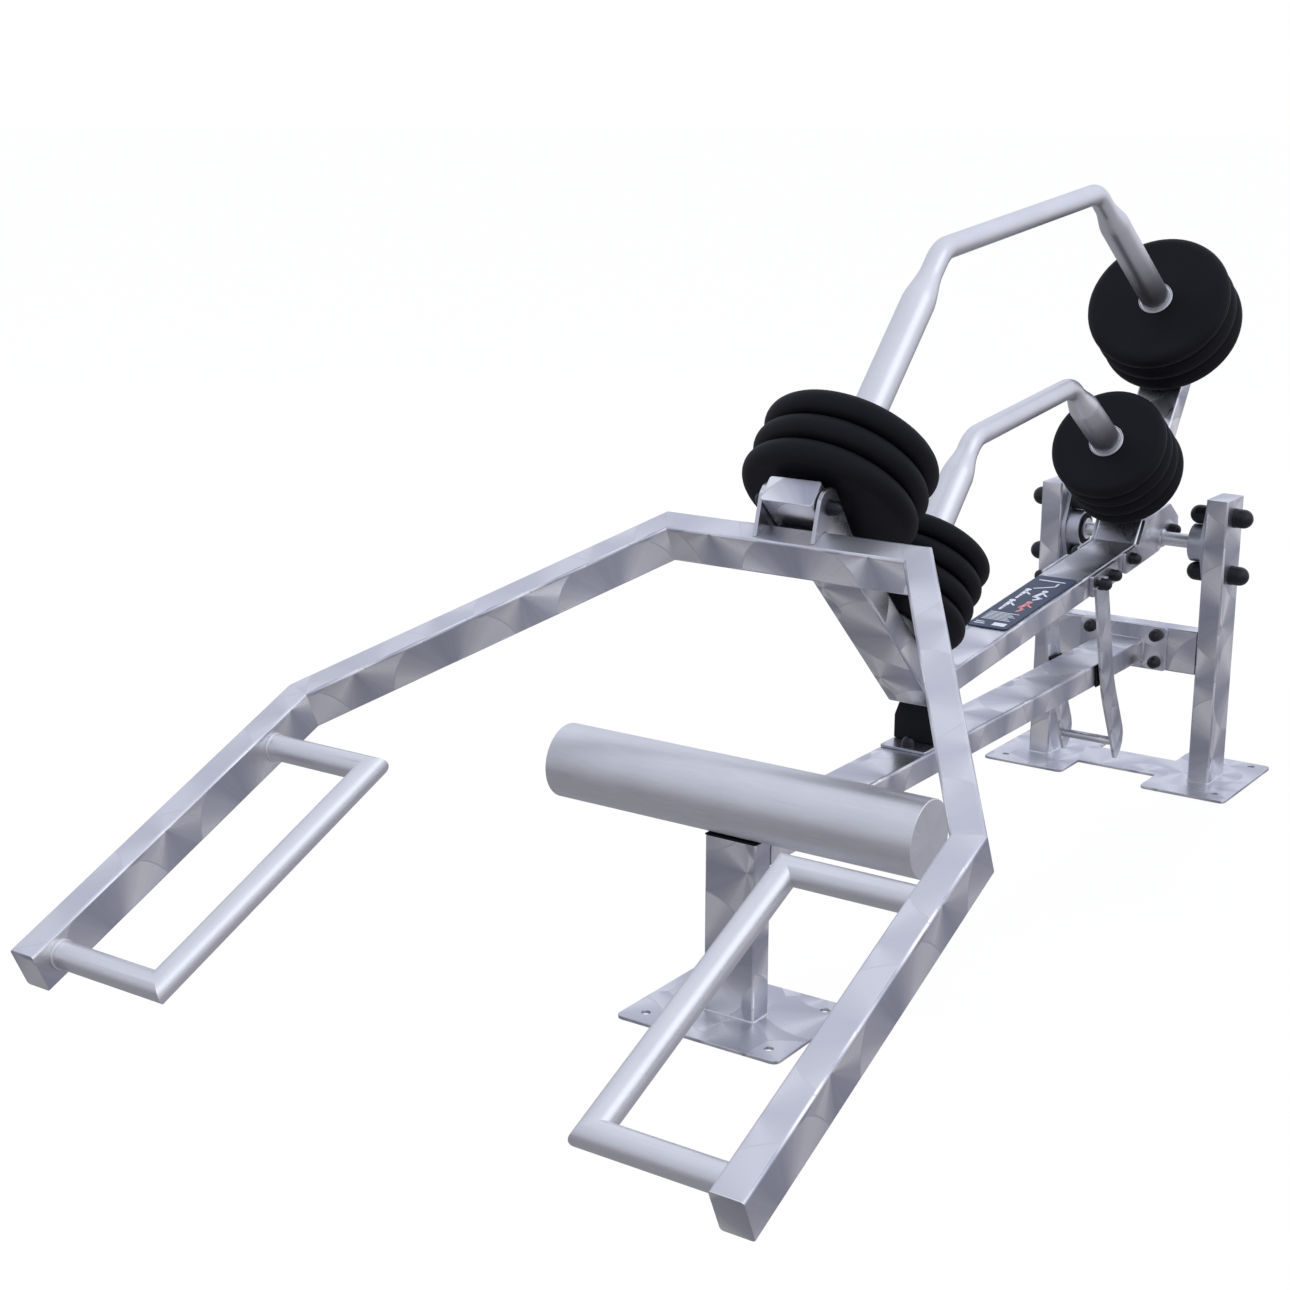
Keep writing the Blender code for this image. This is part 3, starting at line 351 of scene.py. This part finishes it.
def add_piece(name, shape, finish, smooth_angle=35.0, weighted=True):
    """Turns a bmesh into an object, with smooth faces that stay flat where they are flat."""
    bmesh.ops.recalc_face_normals(shape, faces=shape.faces)
    mesh = bpy.data.meshes.new(name)
    shape.to_mesh(mesh)
    shape.free()
    mesh.shade_smooth()
    mesh.set_sharp_from_angle(angle=math.radians(smooth_angle))
    mesh.materials.append(finish)
    obj = bpy.data.objects.new(name, mesh)
    bpy.context.scene.collection.objects.link(obj)
    if weighted:
        modifier = obj.modifiers.new("flat_faces", "WEIGHTED_NORMAL")
        modifier.keep_sharp = True
        modifier.weight = 100
    return obj


def sheet_map(shape, name, axis, top_marks_and_sheen=1.0):
    """A map in metres on each face, along axis where it can, with its width measured from the face's middle.

    A second map holds how deep the polishing marks and the painted fan highlights are; the last argument lowers them on
    faces that look up.
    """
    layer = shape.loops.layers.uv.new("sheet")
    depth = shape.loops.layers.uv.new("depth")
    draw = random.Random(name)
    groups = {}
    for face in shape.faces:
        key = tuple(round(value) for value in face.normal)
        groups.setdefault(key, []).append(face)
    for faces in groups.values():
        normal = max(faces, key=lambda face: face.calc_area()).normal.copy()
        along = axis - normal * axis.dot(normal)
        if along.length < 0.3:
            other = X if abs(normal.x) < 0.8 else Z
            along = other - normal * other.dot(normal)
        along.normalize()
        side = normal.cross(along)
        if side.z < -0.01:
            along, side = -along, -side
        widths = [loop.vert.co.dot(side) for face in faces for loop in face.loops]
        middle = (min(widths) + max(widths)) / 2
        shift = draw.random() * 3
        mark_and_sheen_strength = top_marks_and_sheen if normal.z > 0.7 else 1.0
        for face in faces:
            for loop in face.loops:
                place = loop.vert.co
                loop[layer].uv = (place.dot(along) + shift, place.dot(side) - middle)
                loop[depth].uv = (mark_and_sheen_strength, 0.0)


def clean_solid(node, filled):
    """A CAD solid as a bmesh with its flat faces whole; filled drops bores and hollows."""
    source = bmesh.new()
    source.from_mesh(NODES[node].data)
    bmesh.ops.remove_doubles(source, verts=source.verts, dist=1e-6)
    if filled:
        points = [vert.co.copy() for vert in source.verts]
        source.clear()
        for point in points:
            source.verts.new(point)
        made = bmesh.ops.convex_hull(source, input=source.verts)
        spare = {item for item in made["geom_interior"] + made["geom_unused"] if isinstance(item, bmesh.types.BMVert)}
        bmesh.ops.delete(source, geom=list(spare), context="VERTS")
    edges = [edge for edge in source.edges if edge.is_manifold]
    bmesh.ops.dissolve_limit(source, angle_limit=math.radians(0.5), verts=source.verts, edges=edges)
    bmesh.ops.recalc_face_normals(source, faces=source.faces)
    return source


def long_axis(shape):
    longest = max(shape.edges, key=lambda edge: edge.calc_length())
    return (longest.verts[1].co - longest.verts[0].co).normalized()


def round_edges(shape, edges, radius, segments):
    bmesh.ops.bevel(
        shape, geom=edges, offset=radius, offset_type="OFFSET", segments=segments, profile=0.5,
        affect="EDGES", clamp_overlap=True,
    )


def finish_tube(node):
    """Flat-sided tube with rolled corners, closed flush at a free end and run on into a mitre."""
    shape = clean_solid(node, True)
    axis = long_axis(shape)
    mitred, square = [], []
    for face in shape.faces:
        facing = abs(face.normal.dot(axis))
        if 0.2 < facing < 0.99:
            mitred.append(face)
        elif facing >= 0.99:
            square.append(face)
    for face in mitred:
        outward = axis if face.normal.dot(axis) > 0 else -axis
        for vert in face.verts:
            vert.co += outward * SEAM / face.normal.dot(outward)
    along = [edge for edge in shape.edges if abs((edge.verts[1].co - edge.verts[0].co).normalized().dot(axis)) > 0.999]
    round_edges(shape, along, TUBE_CORNER, 4)
    ends = [face for face in shape.faces if abs(face.normal.dot(axis)) > 0.99]
    rims = list({edge for face in ends for edge in face.edges})
    if rims:
        round_edges(shape, rims, CAP_EDGE, 2)
    shape.normal_update()
    # Faces that look up keep less of the marks and painted fan highlights: a quarter on the yoke, 0.6 elsewhere.
    sheet_map(shape, node, axis, 0.25 if node.startswith("yoke") else 0.6)
    return keep(add_piece(f"{node}_steel", shape, FINISHES[SLOT_OF[node]]), node)


def finish_sheet(node, edge_radius=SHEET_EDGE, segments=2, axis=None, filled=False):
    """Flat stock or a moulded block, with its sharp outer edges broken."""
    shape = clean_solid(node, filled)
    sharp = [
        edge for edge in shape.edges
        if edge.is_manifold and edge.calc_face_angle_signed() > math.radians(35)
    ]
    round_edges(shape, sharp, edge_radius, segments)
    shape.normal_update()
    sheet_map(shape, node, axis or long_axis(shape), 0.5)
    return keep(add_piece(f"{node}_finished", shape, FINISHES[SLOT_OF[node]]), node)


def swept(path, radii, side, sides):
    """A round bar along a flat path as a bmesh with a map in metres; side is the plane's normal."""
    shape = bmesh.new()
    layer = shape.loops.layers.uv.new("sheet")
    rings, reach, travelled = [], [], 0.0
    for i, point in enumerate(path):
        before = point - path[i - 1] if i else None
        after = path[i + 1] - point if i + 1 < len(path) else None
        before = before.normalized() if before and before.length > 1e-7 else None
        after = after.normalized() if after and after.length > 1e-7 else None
        before, after = before or after, after or before
        middle = (before + after).normalized()
        spread = 1.0 / max(middle.dot(after), 0.2)
        inward = side.cross(middle).normalized()
        travelled += (point - path[i - 1]).length if i else 0.0
        reach.append(travelled)
        ring = []
        for k in range(sides):
            turn = 2 * math.pi * k / sides
            offset = side * math.cos(turn) + inward * (math.sin(turn) * spread)
            ring.append(shape.verts.new(point + offset * radii[i]))
        rings.append(ring)
    for i in range(len(path) - 1):
        for k in range(sides):
            m = (k + 1) % sides
            face = shape.faces.new((rings[i][k], rings[i][m], rings[i + 1][m], rings[i + 1][k]))
            around = 2 * math.pi * max(radii[i], radii[i + 1]) / sides
            corners = ((reach[i], k), (reach[i], k + 1), (reach[i + 1], k + 1), (reach[i + 1], k))
            for loop, (u, v) in zip(face.loops, corners):
                loop[layer].uv = (u, v * around)
    for ring in (rings[0], rings[-1]):
        shape.faces.new(ring)
    return shape


def turned(profile, centre, axis, sides):
    """A solid of revolution as a bmesh; profile runs round the section as (radius, height on axis)."""
    shape = bmesh.new()
    layer = shape.loops.layers.uv.new("sheet")
    first = axis.orthogonal().normalized()
    second = axis.cross(first)
    rings = []
    for radius, height in profile:
        if radius < 1e-7:
            rings.append([shape.verts.new(centre + axis * height)] * sides)
            continue
        ring = []
        for k in range(sides):
            turn = 2 * math.pi * k / sides
            ring.append(shape.verts.new(centre + axis * height + (first * math.cos(turn) + second * math.sin(turn)) * radius))
        rings.append(ring)
    closed = profile[0][0] > 1e-7
    travelled = 0.0
    for i in range(len(rings) if closed else len(rings) - 1):
        j = (i + 1) % len(rings)
        step = math.dist(profile[i], profile[j])
        for k in range(sides):
            m = (k + 1) % sides
            corners = dict.fromkeys((rings[i][k], rings[i][m], rings[j][m], rings[j][k]))
            face = shape.faces.new(list(corners))
            around = 2 * math.pi * profile[i][0] / sides
            for loop in face.loops:
                place = loop.vert.co - centre
                loop[layer].uv = (travelled + (step if loop.vert in rings[j] else 0.0), k * around + place.dot(axis) * 0)
        travelled += step
    return shape


# --- Weights --------------------------------------------------------------------------------------
def arc(centre, radius, start, end, steps):
    """Points on a circle in a section, from angle start to end in degrees."""
    angles = [math.radians(start + (end - start) * k / steps) for k in range(steps + 1)]
    return [(centre[0] + radius * math.cos(angle), centre[1] + radius * math.sin(angle)) for angle in angles]


def make_weight(node):
    """A rubber disc with a fully round rim, and the bright sleeve in its bore."""
    joint = next(joint for joint in frame["joints"] if joint["child"] == BODY_OF[node])
    axis = Vector(joint["axis"]).normalized()
    low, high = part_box(node)
    centre = (low + high) / 2
    heights = [axis.dot(vert.co - centre) for vert in NODES[node].data.vertices]
    half = (max(heights) - min(heights)) / 2
    radius = (high.x - low.x) / 2
    bore, lip = 0.0262, 0.0010
    rim = arc((radius - half, 0), half - lip, -90, 90, 14)
    profile = [(bore, -half + 0.002), (bore + 0.003, -half + lip)] + rim + [(bore + 0.003, half - lip), (bore, half - 0.002)]
    disc = add_piece(f"{node}_rubber", turned(profile, centre, axis, 96), FINISHES["weight_rubber"])
    keep(disc, node)
    inner, outer, proud = 0.0256, 0.0302, half - 0.0002
    sleeve = [(inner, -proud), (outer - 0.0006, -proud), (outer, -proud + 0.0006), (outer, proud - 0.0006)]
    sleeve += [(outer - 0.0006, proud), (0.0290, proud), (0.0286, proud - 0.0012), (0.0272, proud - 0.0012)]
    sleeve += [(0.0268, proud), (inner, proud)]
    ring = add_piece(f"{node}_sleeve", turned(sleeve, centre, axis, 64), FINISHES["brushed_round"])
    keep(ring, body=BODY_OF[node])


# --- Bars -----------------------------------------------------------------------------------------
def make_weight_bar(node, up_arm, top, collar, cone_start, cone_end):
    """A bent bar: wide sleeves for the weights, drawn down to a narrower tube through bends and middle."""
    face = BEAM_DEPTH + SEAM
    along_face = BEAM_HALF * math.cos(ARM_LEAN) - BEAM_DEPTH * math.sin(ARM_LEAN) + up_arm
    bend_a = (top * math.sin(ARM_LEAN) - along_face) / math.cos(ARM_LEAN)
    corner = (bend_a + BEAM_HALF) * math.sin(ARM_LEAN) + (top + BEAM_DEPTH) * math.cos(ARM_LEAN)
    turn = math.pi / 2 - ARM_LEAN
    stations = [(face, COLLAR_RADIUS - 0.0015), (face + 0.0015, COLLAR_RADIUS), (face + collar - 0.002, COLLAR_RADIUS)]
    stations += [(face + collar, COLLAR_RADIUS - 0.002), (face + collar, SLEEVE_RADIUS)]
    steps = 6
    for k in range(steps + 1):
        share = k / steps
        eased = share * share * (3 - 2 * share)
        radius = SLEEVE_RADIUS + (BEND_TUBE_RADIUS - SLEEVE_RADIUS) * (0.4 * share + 0.6 * eased)
        stations.append((corner - cone_start + (cone_start - cone_end) * share, radius))
    stations.append((corner - BEND_RADIUS * math.tan(turn / 2), BEND_TUBE_RADIUS))
    half = [(arm_point(-1, 0, up_arm, inward), radius) for inward, radius in stations]
    centre = lever_point(0, bend_a + BEND_RADIUS * math.tan(turn / 2), top - BEND_RADIUS)
    steps = 10
    for k in range(1, steps + 1):
        angle = turn * (1 - k / steps)
        half.append((centre + (LEVER_UP * math.cos(angle) - LEVER_ALONG * math.sin(angle)) * BEND_RADIUS, BEND_TUBE_RADIUS))
    middle = lever_point(0, 0, 0)
    other = [(p - LEVER_ALONG * (2 * (p - middle).dot(LEVER_ALONG)), radius) for p, radius in reversed(half)]
    path, radii = zip(*(half + other))
    keep(add_piece(f"{node}_brushed", swept(path, radii, X, 48), FINISHES["brushed_round"], 28), node)


def make_handle(side, sign):
    node = f"handle_{side}"
    corners = [
        yoke_point(sign * YOKE_INNER_FACE, YOKE_BACK - GRIP_REAR, YOKE_MIDDLE),
        yoke_point(sign * GRIP_X, YOKE_BACK - GRIP_REAR, YOKE_MIDDLE),
        yoke_point(sign * GRIP_X, YOKE_BACK - GRIP_FRONT, YOKE_MIDDLE),
        yoke_point(sign * YOKE_INNER_FACE, YOKE_BACK - GRIP_FRONT, YOKE_MIDDLE),
    ]
    shape = swept(corners, [GRIP_RADIUS] * 4, YOKE_UP, 48)
    keep(add_piece(f"{node}_brushed", shape, FINISHES["brushed_round"]), node)
    for i, place in (("rear", corners[0]), ("front", corners[-1])):
        weld_ring(f"{node}_weld_{i}", place - X * sign * 0.001, X * -sign, GRIP_RADIUS, "yoke")


def make_roller():
    low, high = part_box("roller")
    centre, half, radius = (low + high) / 2, (high.x - low.x) / 2, (high.z - low.z) / 2
    edge = 0.0015
    profile = [(0.0, -half), (radius - edge, -half)] + arc((radius - edge, -half + edge), edge, -90, 0, 4)[1:]
    profile += [(radius, 0.0)] + arc((radius - edge, half - edge), edge, 0, 90, 4) + [(0.0, half)]
    shape = turned(profile, centre, X, 96)
    keep(add_piece("roller_brushed", shape, FINISHES["brushed_round"]), "roller")


# --- Welds ----------------------------------------------------------------------------------------
def weld_ring(name, centre, axis, radius, body, bead=0.0026):
    """A rippled bead round a bar where it meets a flat face."""
    first = axis.orthogonal().normalized()
    second = axis.cross(first)
    count = 72
    loop = []
    for k in range(count):
        turn = 2 * math.pi * k / count
        loop.append(centre + (first * math.cos(turn) + second * math.sin(turn)) * radius)
    weld_loop(name, loop, body, bead)


def weld_frame(name, centre, wide, high, half_wide, half_high, body, bead=0.0018):
    """A rippled bead round a flat-sided tube where it meets a flat face."""
    corner = TUBE_CORNER
    loop = []
    for sign_w, sign_h, start in ((1, 1, 0), (-1, 1, 90), (-1, -1, 180), (1, -1, 270)):
        middle = (sign_w * (half_wide - corner), sign_h * (half_high - corner))
        loop += arc(middle, corner, start, start + 90, 3)
    points = []
    for i, (u, v) in enumerate(loop):
        next_u, next_v = loop[(i + 1) % len(loop)]
        pieces = max(1, round(math.dist((u, v), (next_u, next_v)) / 0.004))
        for k in range(pieces):
            share = k / pieces
            points.append(centre + wide * (u + (next_u - u) * share) + high * (v + (next_v - v) * share))
    weld_loop(name, points, body, bead)


def weld_loop(name, points, body, bead):
    """A closed bead through points; every other ring is a little thinner, which makes the ripple."""
    shape = bmesh.new()
    layer = shape.loops.layers.uv.new("sheet")
    count, sides = len(points), 8
    middle = sum(points, Vector()) / count
    normal = (points[0] - middle).cross(points[count // 4] - middle).normalized()
    rings = []
    for i, point in enumerate(points):
        along = (points[(i + 1) % count] - points[i - 1]).normalized()
        out = along.cross(normal)
        size = bead * (1.0 if i % 2 else 0.86)
        ring = []
        for k in range(sides):
            turn = 2 * math.pi * k / sides
            ring.append(shape.verts.new(point + (out * math.cos(turn) + normal * math.sin(turn)) * size))
        rings.append(ring)
    for i in range(count):
        for k in range(sides):
            m, j = (k + 1) % sides, (i + 1) % count
            face = shape.faces.new((rings[i][k], rings[i][m], rings[j][m], rings[j][k]))
            for loop in face.loops:
                loop[layer].uv = (i * 0.004, k * 0.002)
    obj = add_piece(name, shape, FINISHES["brushed_round"], 60, False)
    keep(obj, body=body)


# --- Fasteners ------------------------------------------------------------------------------------
def cap_profile(radius, reach):
    """A domed cap from its tip to its flat foot at height 0, with a small shoulder at the foot."""
    dome = [(r, z) for r, z in reversed(arc((0, reach - radius), radius, 0, 90, 10))]
    dome[0] = (0.0, reach)
    return dome + [(radius, 0.0035), (radius + 0.0006, 0.0025), (radius + 0.0006, 0.0), (0.0, 0.0)]


def add_cap(name, foot, axis, radius, reach, body, node=None):
    shape = turned(cap_profile(radius - 0.0007, reach), foot, axis, 40)
    obj = add_piece(name, shape, FINISHES["black_cap"])
    return keep(obj, node=node, body=body)


def make_through_bolt(node, reach):
    """Both domed caps of a bolt that lies along X, as one piece with its shank."""
    low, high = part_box(node)
    centre, half, radius = (low + high) / 2, (high.x - low.x) / 2, (high.z - low.z) / 2
    grip, shank = half - reach, 0.006
    cap = [(r, grip + z) for r, z in cap_profile(radius - 0.0007, reach)[:-1]] + [(shank, grip)]
    profile = cap + [(r, -z) for r, z in reversed(cap)]
    keep(add_piece(f"{node}_caps", turned(profile, centre, X, 40), FINISHES["black_cap"]), node)


def make_fasteners():
    for side, _ in SIDES:
        for level in ("upper", "lower"):
            make_through_bolt(f"bearing_bolt_{level}_{side}", 0.032)
    for node in ("bracket_bolt_front", "bracket_bolt_rear", "bail_bolt_front", "bail_bolt_rear", "hinge_bolt"):
        make_through_bolt(node, 0.019)
    low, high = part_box("bumper_bolt")
    foot = Vector(((low.x + high.x) / 2, (low.y + high.y) / 2, low.z))
    add_cap("bumper_bolt_cap", foot, Z, (high.x - low.x) / 2, high.z - low.z, None, "bumper_bolt")
    low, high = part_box("low_beam_flange")
    middle = (low.z + high.z) / 2
    for side, sign in SIDES:
        for level, rise in (("upper", 0.025), ("lower", -0.025)):
            foot = Vector((sign * 0.0625, low.y, middle + rise))
            add_cap(f"flange_bolt_{level}_{side}", foot, -Y, 0.0115, 0.018, "base")


# --- Bearings -------------------------------------------------------------------------------------
def make_bearing_details():
    """The insert and its seal in each bearing's face, and the weld round the shaft at the side plates."""
    boss_face = 0.1035
    for side, sign in SIDES:
        seal = [(0.0195, 0), (0.0285, 0), (0.0285, 0.0010), (0.0270, 0.0016), (0.0195, 0.0010)]
        centre = Vector((sign * boss_face, POST_Y, PIVOT_Z))
        ring = add_piece(f"bearing_seal_{side}", turned(seal, centre, X * -sign, 64), FINISHES["black_rubber"])
        keep(ring, body="base")
        collar = [(0.0126, 0), (0.0192, 0), (0.0192, 0.0050), (0.0184, 0.0058), (0.0126, 0.0058)]
        ring = add_piece(f"inner_ring_{side}", turned(collar, centre, X * -sign, 64), FINISHES["brushed_round"])
        keep(ring, body="lever")
        boss = [(0.0125, 0), (0.0165, 0), (0.0158, 0.0025), (0.0135, 0.0040), (0.0125, 0.0040)]
        centre = Vector((sign * 0.0454, POST_Y, PIVOT_Z))
        ring = add_piece(f"shaft_weld_{side}", turned(boss, centre, X * sign, 48), FINISHES["brushed_round"])
        keep(ring, body="lever")
        finish_sheet(f"bearing_{side}", 0.0012, 2, Z)


# --- Information plate ----------------------------------------------------------------------------
def make_print():
    """Generic pictograms and plain blocks on the information plate, as thin raised ink."""
    low_a, ink = -0.137, 0.00025
    top = 0.0023
    lines = bmesh.new()
    marks = bmesh.new()

    def slab(shape, outline):
        low_ring = [shape.verts.new(lever_point(x, a, top)) for x, a in outline]
        high_ring = [shape.verts.new(lever_point(x, a, top + ink)) for x, a in outline]
        shape.faces.new(low_ring)
        shape.faces.new(high_ring)
        for i in range(len(outline)):
            j = (i + 1) % len(outline)
            shape.faces.new((low_ring[i], low_ring[j], high_ring[j], high_ring[i]))

    def limb(shape, start, end, wide):
        start, end = Vector(start), Vector(end)
        along = (end - start).normalized() * wide / 2
        side = Vector((-along.y, along.x))
        turns = [math.radians(angle) for angle in range(-90, 91, 45)]
        far = [end + along * math.cos(turn) + side * math.sin(turn) for turn in turns]
        near = [start - along * math.cos(turn) - side * math.sin(turn) for turn in turns]
        slab(shape, [tuple(p) for p in far + near])

    def figure(shape, x, a, size, bend):
        """A plain figure: head, trunk, thigh, shin and arm; bend folds the knee."""
        def at(u, v):
            return (x + u * size, a + v * size)
        slab(shape, [at(0.10 * math.cos(t * 0.5236), 0.88 + 0.10 * math.sin(t * 0.5236)) for t in range(12)])
        hip = (-0.10 * bend, 0.42 - 0.10 * bend)
        knee = (0.16 * bend, 0.22)
        limb(shape, at(0, 0.74), at(*hip), 0.13 * size)
        limb(shape, at(*hip), at(*knee), 0.10 * size)
        limb(shape, at(*knee), at(0.0, 0.02), 0.09 * size)
        limb(shape, at(0, 0.70), at(0.22, 0.48), 0.07 * size)

    def block(shape, x0, x1, a0, a1):
        slab(shape, [(x0, a0), (x1, a0), (x1, a1), (x0, a1)])

    for k in range(7):
        block(lines, -0.026, 0.024 - 0.005 * (k % 3), low_a + 0.036 + k * 0.0058, low_a + 0.038 + k * 0.0058)
    block(lines, 0.004, 0.026, low_a + 0.010, low_a + 0.024)
    limb(lines, (-0.026, low_a + 0.013), (-0.010, low_a + 0.013), 0.003)
    limb(lines, (-0.026, low_a + 0.021), (-0.014, low_a + 0.021), 0.003)
    figure(lines, -0.018, low_a + 0.086, 0.056, 0.0)
    figure(marks, 0.012, low_a + 0.086, 0.056, 0.6)
    figure(lines, -0.018, low_a + 0.148, 0.054, 0.0)
    figure(lines, 0.012, low_a + 0.148, 0.054, 1.0)
    limb(lines, (-0.012, low_a + 0.205), (0.016, low_a + 0.225), 0.0035)
    limb(lines, (0.016, low_a + 0.225), (0.016, low_a + 0.240), 0.0035)
    limb(lines, (-0.022, low_a + 0.250), (0.022, low_a + 0.250), 0.004)
    for name, shape, finish in (("pictograms", lines, PALE_PRINT), ("pictogram_red", marks, RED_PRINT)):
        keep(add_piece(name, shape, finish, 35, False), body="lever")


# --- Assembly -------------------------------------------------------------------------------------
TUBES = [
    "rear_post_left", "rear_post_right", "front_post", "cross_beam", "low_beam", "main_beam", "front_arm",
    "rear_arm", "yoke_back_beam", "yoke_diagonal_left", "yoke_diagonal_right", "yoke_rail_left", "yoke_rail_right",
]


def make_machine():
    for node in TUBES:
        finish_tube(node)
    for node in ("rear_base_plate", "front_base_plate", "low_beam_flange", "bumper_plate"):
        finish_sheet(node, axis=Y if node != "low_beam_flange" else X)
    for node in ("side_plate_left", "side_plate_right", "stop_bail", "yoke_ear_left", "yoke_ear_right"):
        finish_sheet(node)
    finish_sheet("info_plate", 0.0005, 2)
    finish_sheet("bumper_block", 0.0030, 4)
    finish_sheet("roller_pad", 0.0006, 2)
    finish_sheet("yoke_stop_pad", 0.0030, 4)
    for side, _ in SIDES:
        finish_sheet(f"guide_pad_{side}", 0.0008, 2)
    for node in NODES:
        if SLOT_OF[node] == "weight_rubber":
            make_weight(node)
    make_weight_bar("upper_weight_bar", 0.4330, 0.6213, 0.011, 0.098, 0.045)
    make_weight_bar("lower_weight_bar", 0.1400, 0.3199, 0.018, 0.072, 0.028)
    for side, sign in SIDES:
        make_handle(side, sign)
    make_roller()
    low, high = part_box("pivot_shaft")
    path = [Vector((x, POST_Y, PIVOT_Z)) for x in (low.x, high.x)]
    radius = (high.z - low.z) / 2
    keep(add_piece("pivot_shaft_bar", swept(path, [radius] * 2, Y, 48), FINISHES["brushed_round"]), "pivot_shaft")
    make_fasteners()
    make_bearing_details()
    make_print()


def make_welds():
    for side, _ in SIDES:
        low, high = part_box(f"rear_post_{side}")
        centre = Vector(((low.x + high.x) / 2, (low.y + high.y) / 2, low.z))
        weld_frame(f"post_weld_{side}", centre, X, Y, (high.x - low.x) / 2, (high.y - low.y) / 2, "base")
    low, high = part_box("front_post")
    weld_frame("front_post_weld", Vector((0, 0, low.z)), X, Y, high.x, high.y, "base")
    low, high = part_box("low_beam")
    middle = (low.z + high.z) / 2
    for end, y in (("rear", high.y),):
        weld_frame(f"low_beam_weld_{end}", Vector((0, y, middle)), X, Z, high.x, (high.z - low.z) / 2, "base")


# --- Stage ----------------------------------------------------------------------------------------
def make_camera():
    yaw, pitch, roll = (math.radians(angle) for angle in (34.777, -14.781, 0.160))
    forward = Vector((-math.sin(yaw) * math.cos(pitch), math.cos(yaw) * math.cos(pitch), math.sin(pitch)))
    level = forward.cross(Z).normalized()
    upright = level.cross(forward)
    right = level * math.cos(roll) + upright * math.sin(roll)
    above = upright * math.cos(roll) - level * math.sin(roll)
    place = Matrix((right, above, -forward)).transposed().to_4x4()
    place.translation = (1.4230, -2.2675, 1.2250)
    data = bpy.data.cameras.new("camera")
    data.sensor_width = 36.0
    data.lens = 59.459
    camera = bpy.data.objects.new("camera", data)
    camera.matrix_world = place
    bpy.context.scene.collection.objects.link(camera)
    bpy.context.scene.camera = camera


def make_look():
    """Plain colour response, so that white stays white."""
    bpy.context.scene.view_settings.view_transform = "Standard"


def make_floor():
    """A plain white floor: the camera sees it evenly lit, and it still bounces a little light."""
    shape = bmesh.new()
    bmesh.ops.create_circle(shape, cap_ends=True, radius=60.0, segments=96)
    mesh = bpy.data.meshes.new("floor")
    shape.to_mesh(mesh)
    shape.free()
    floor = bpy.data.objects.new("floor", mesh)
    floor.location.z = -0.0005
    bpy.context.scene.collection.objects.link(floor)
    made, wire = new_material("pale_floor", Base_Color=(0.80, 0.80, 0.81, 1), Roughness=0.9)
    glow = wire.add("Emission", None, {"Color": (1.0, 1.0, 1.0, 1.0), "Strength": 1.02})
    share = wire.add("LightPath", None, None, "Is Camera Ray") * 0.93
    surface = made.node_tree.nodes["Principled BSDF"].outputs["BSDF"]
    mixed = wire.add("MixShader", None, {0: share, 1: Wire(wire.tree, surface), 2: glow})
    made.node_tree.links.new(mixed.socket, made.node_tree.nodes["Material Output"].inputs["Surface"])
    mesh.materials.append(made)
    floor.visible_glossy = False


def make_lights():
    for name, place, size, power, seen_in_steel in (
        ("key", (-2.6, -2.4, 4.2), 3.0, 150.0, False),
        ("fill", (3.6, 0.6, 3.2), 3.5, 16.0, True),
        ("rim", (-1.0, 4.5, 3.6), 3.0, 60.0, False),
    ):
        data = bpy.data.lights.new(name, "AREA")
        data.shape = "DISK"
        data.size = size
        data.energy = power
        light = bpy.data.objects.new(name, data)
        light.location = place
        light.rotation_euler = (Vector((0, 0.4, 0.3)) - Vector(place)).to_track_quat("-Z", "Y").to_euler()
        light.visible_glossy = seen_in_steel
        bpy.context.scene.collection.objects.link(light)


def make_world():
    """Soft studio surroundings: pale blue above, a dark band just under the horizon, paler floor below."""
    world = bpy.data.worlds.new("studio")
    world.use_nodes = True
    bpy.context.scene.world = world
    tree = world.node_tree
    wire = Wire(tree)
    direction = wire.add("TexCoord", None, None, "Generated")
    parts = wire.add("SeparateXYZ", None, {"Vector": direction}, "Z")
    height = (parts * 0.5 + 0.5).clamped()
    bands = [
        (0.00, (0.30, 0.30, 0.33)),
        (0.22, (0.32, 0.32, 0.37)),
        (0.36, (0.30, 0.30, 0.36)),
        (0.48, (0.58, 0.58, 0.63)),
        (0.58, (0.65, 0.68, 0.80)),
        (1.00, (0.80, 0.84, 0.97)),
    ]
    above = wire.add("ValToRGB", {"stops": bands}, {"Fac": height})
    behind = (parts.out("Y") * 0.30 + parts.out("X") * 0.25 + 0.5).clamped()
    tinted = behind.mix((0.80, 0.80, 0.80), (1.20, 1.20, 1.20))
    colour = wire.add("Mix", {"data_type": "RGBA", "blend_type": "MULTIPLY"}, {"Factor": 1.0, 6: above, 7: tinted}, 2)
    seen = wire.add("LightPath", None, None, "Is Camera Ray").mix(colour, (1.0, 1.0, 1.0))
    tree.links.new(seen.socket, tree.nodes["Background"].inputs["Color"])


make_machine()
make_welds()
make_camera()
make_floor()
make_lights()
make_world()
make_look()
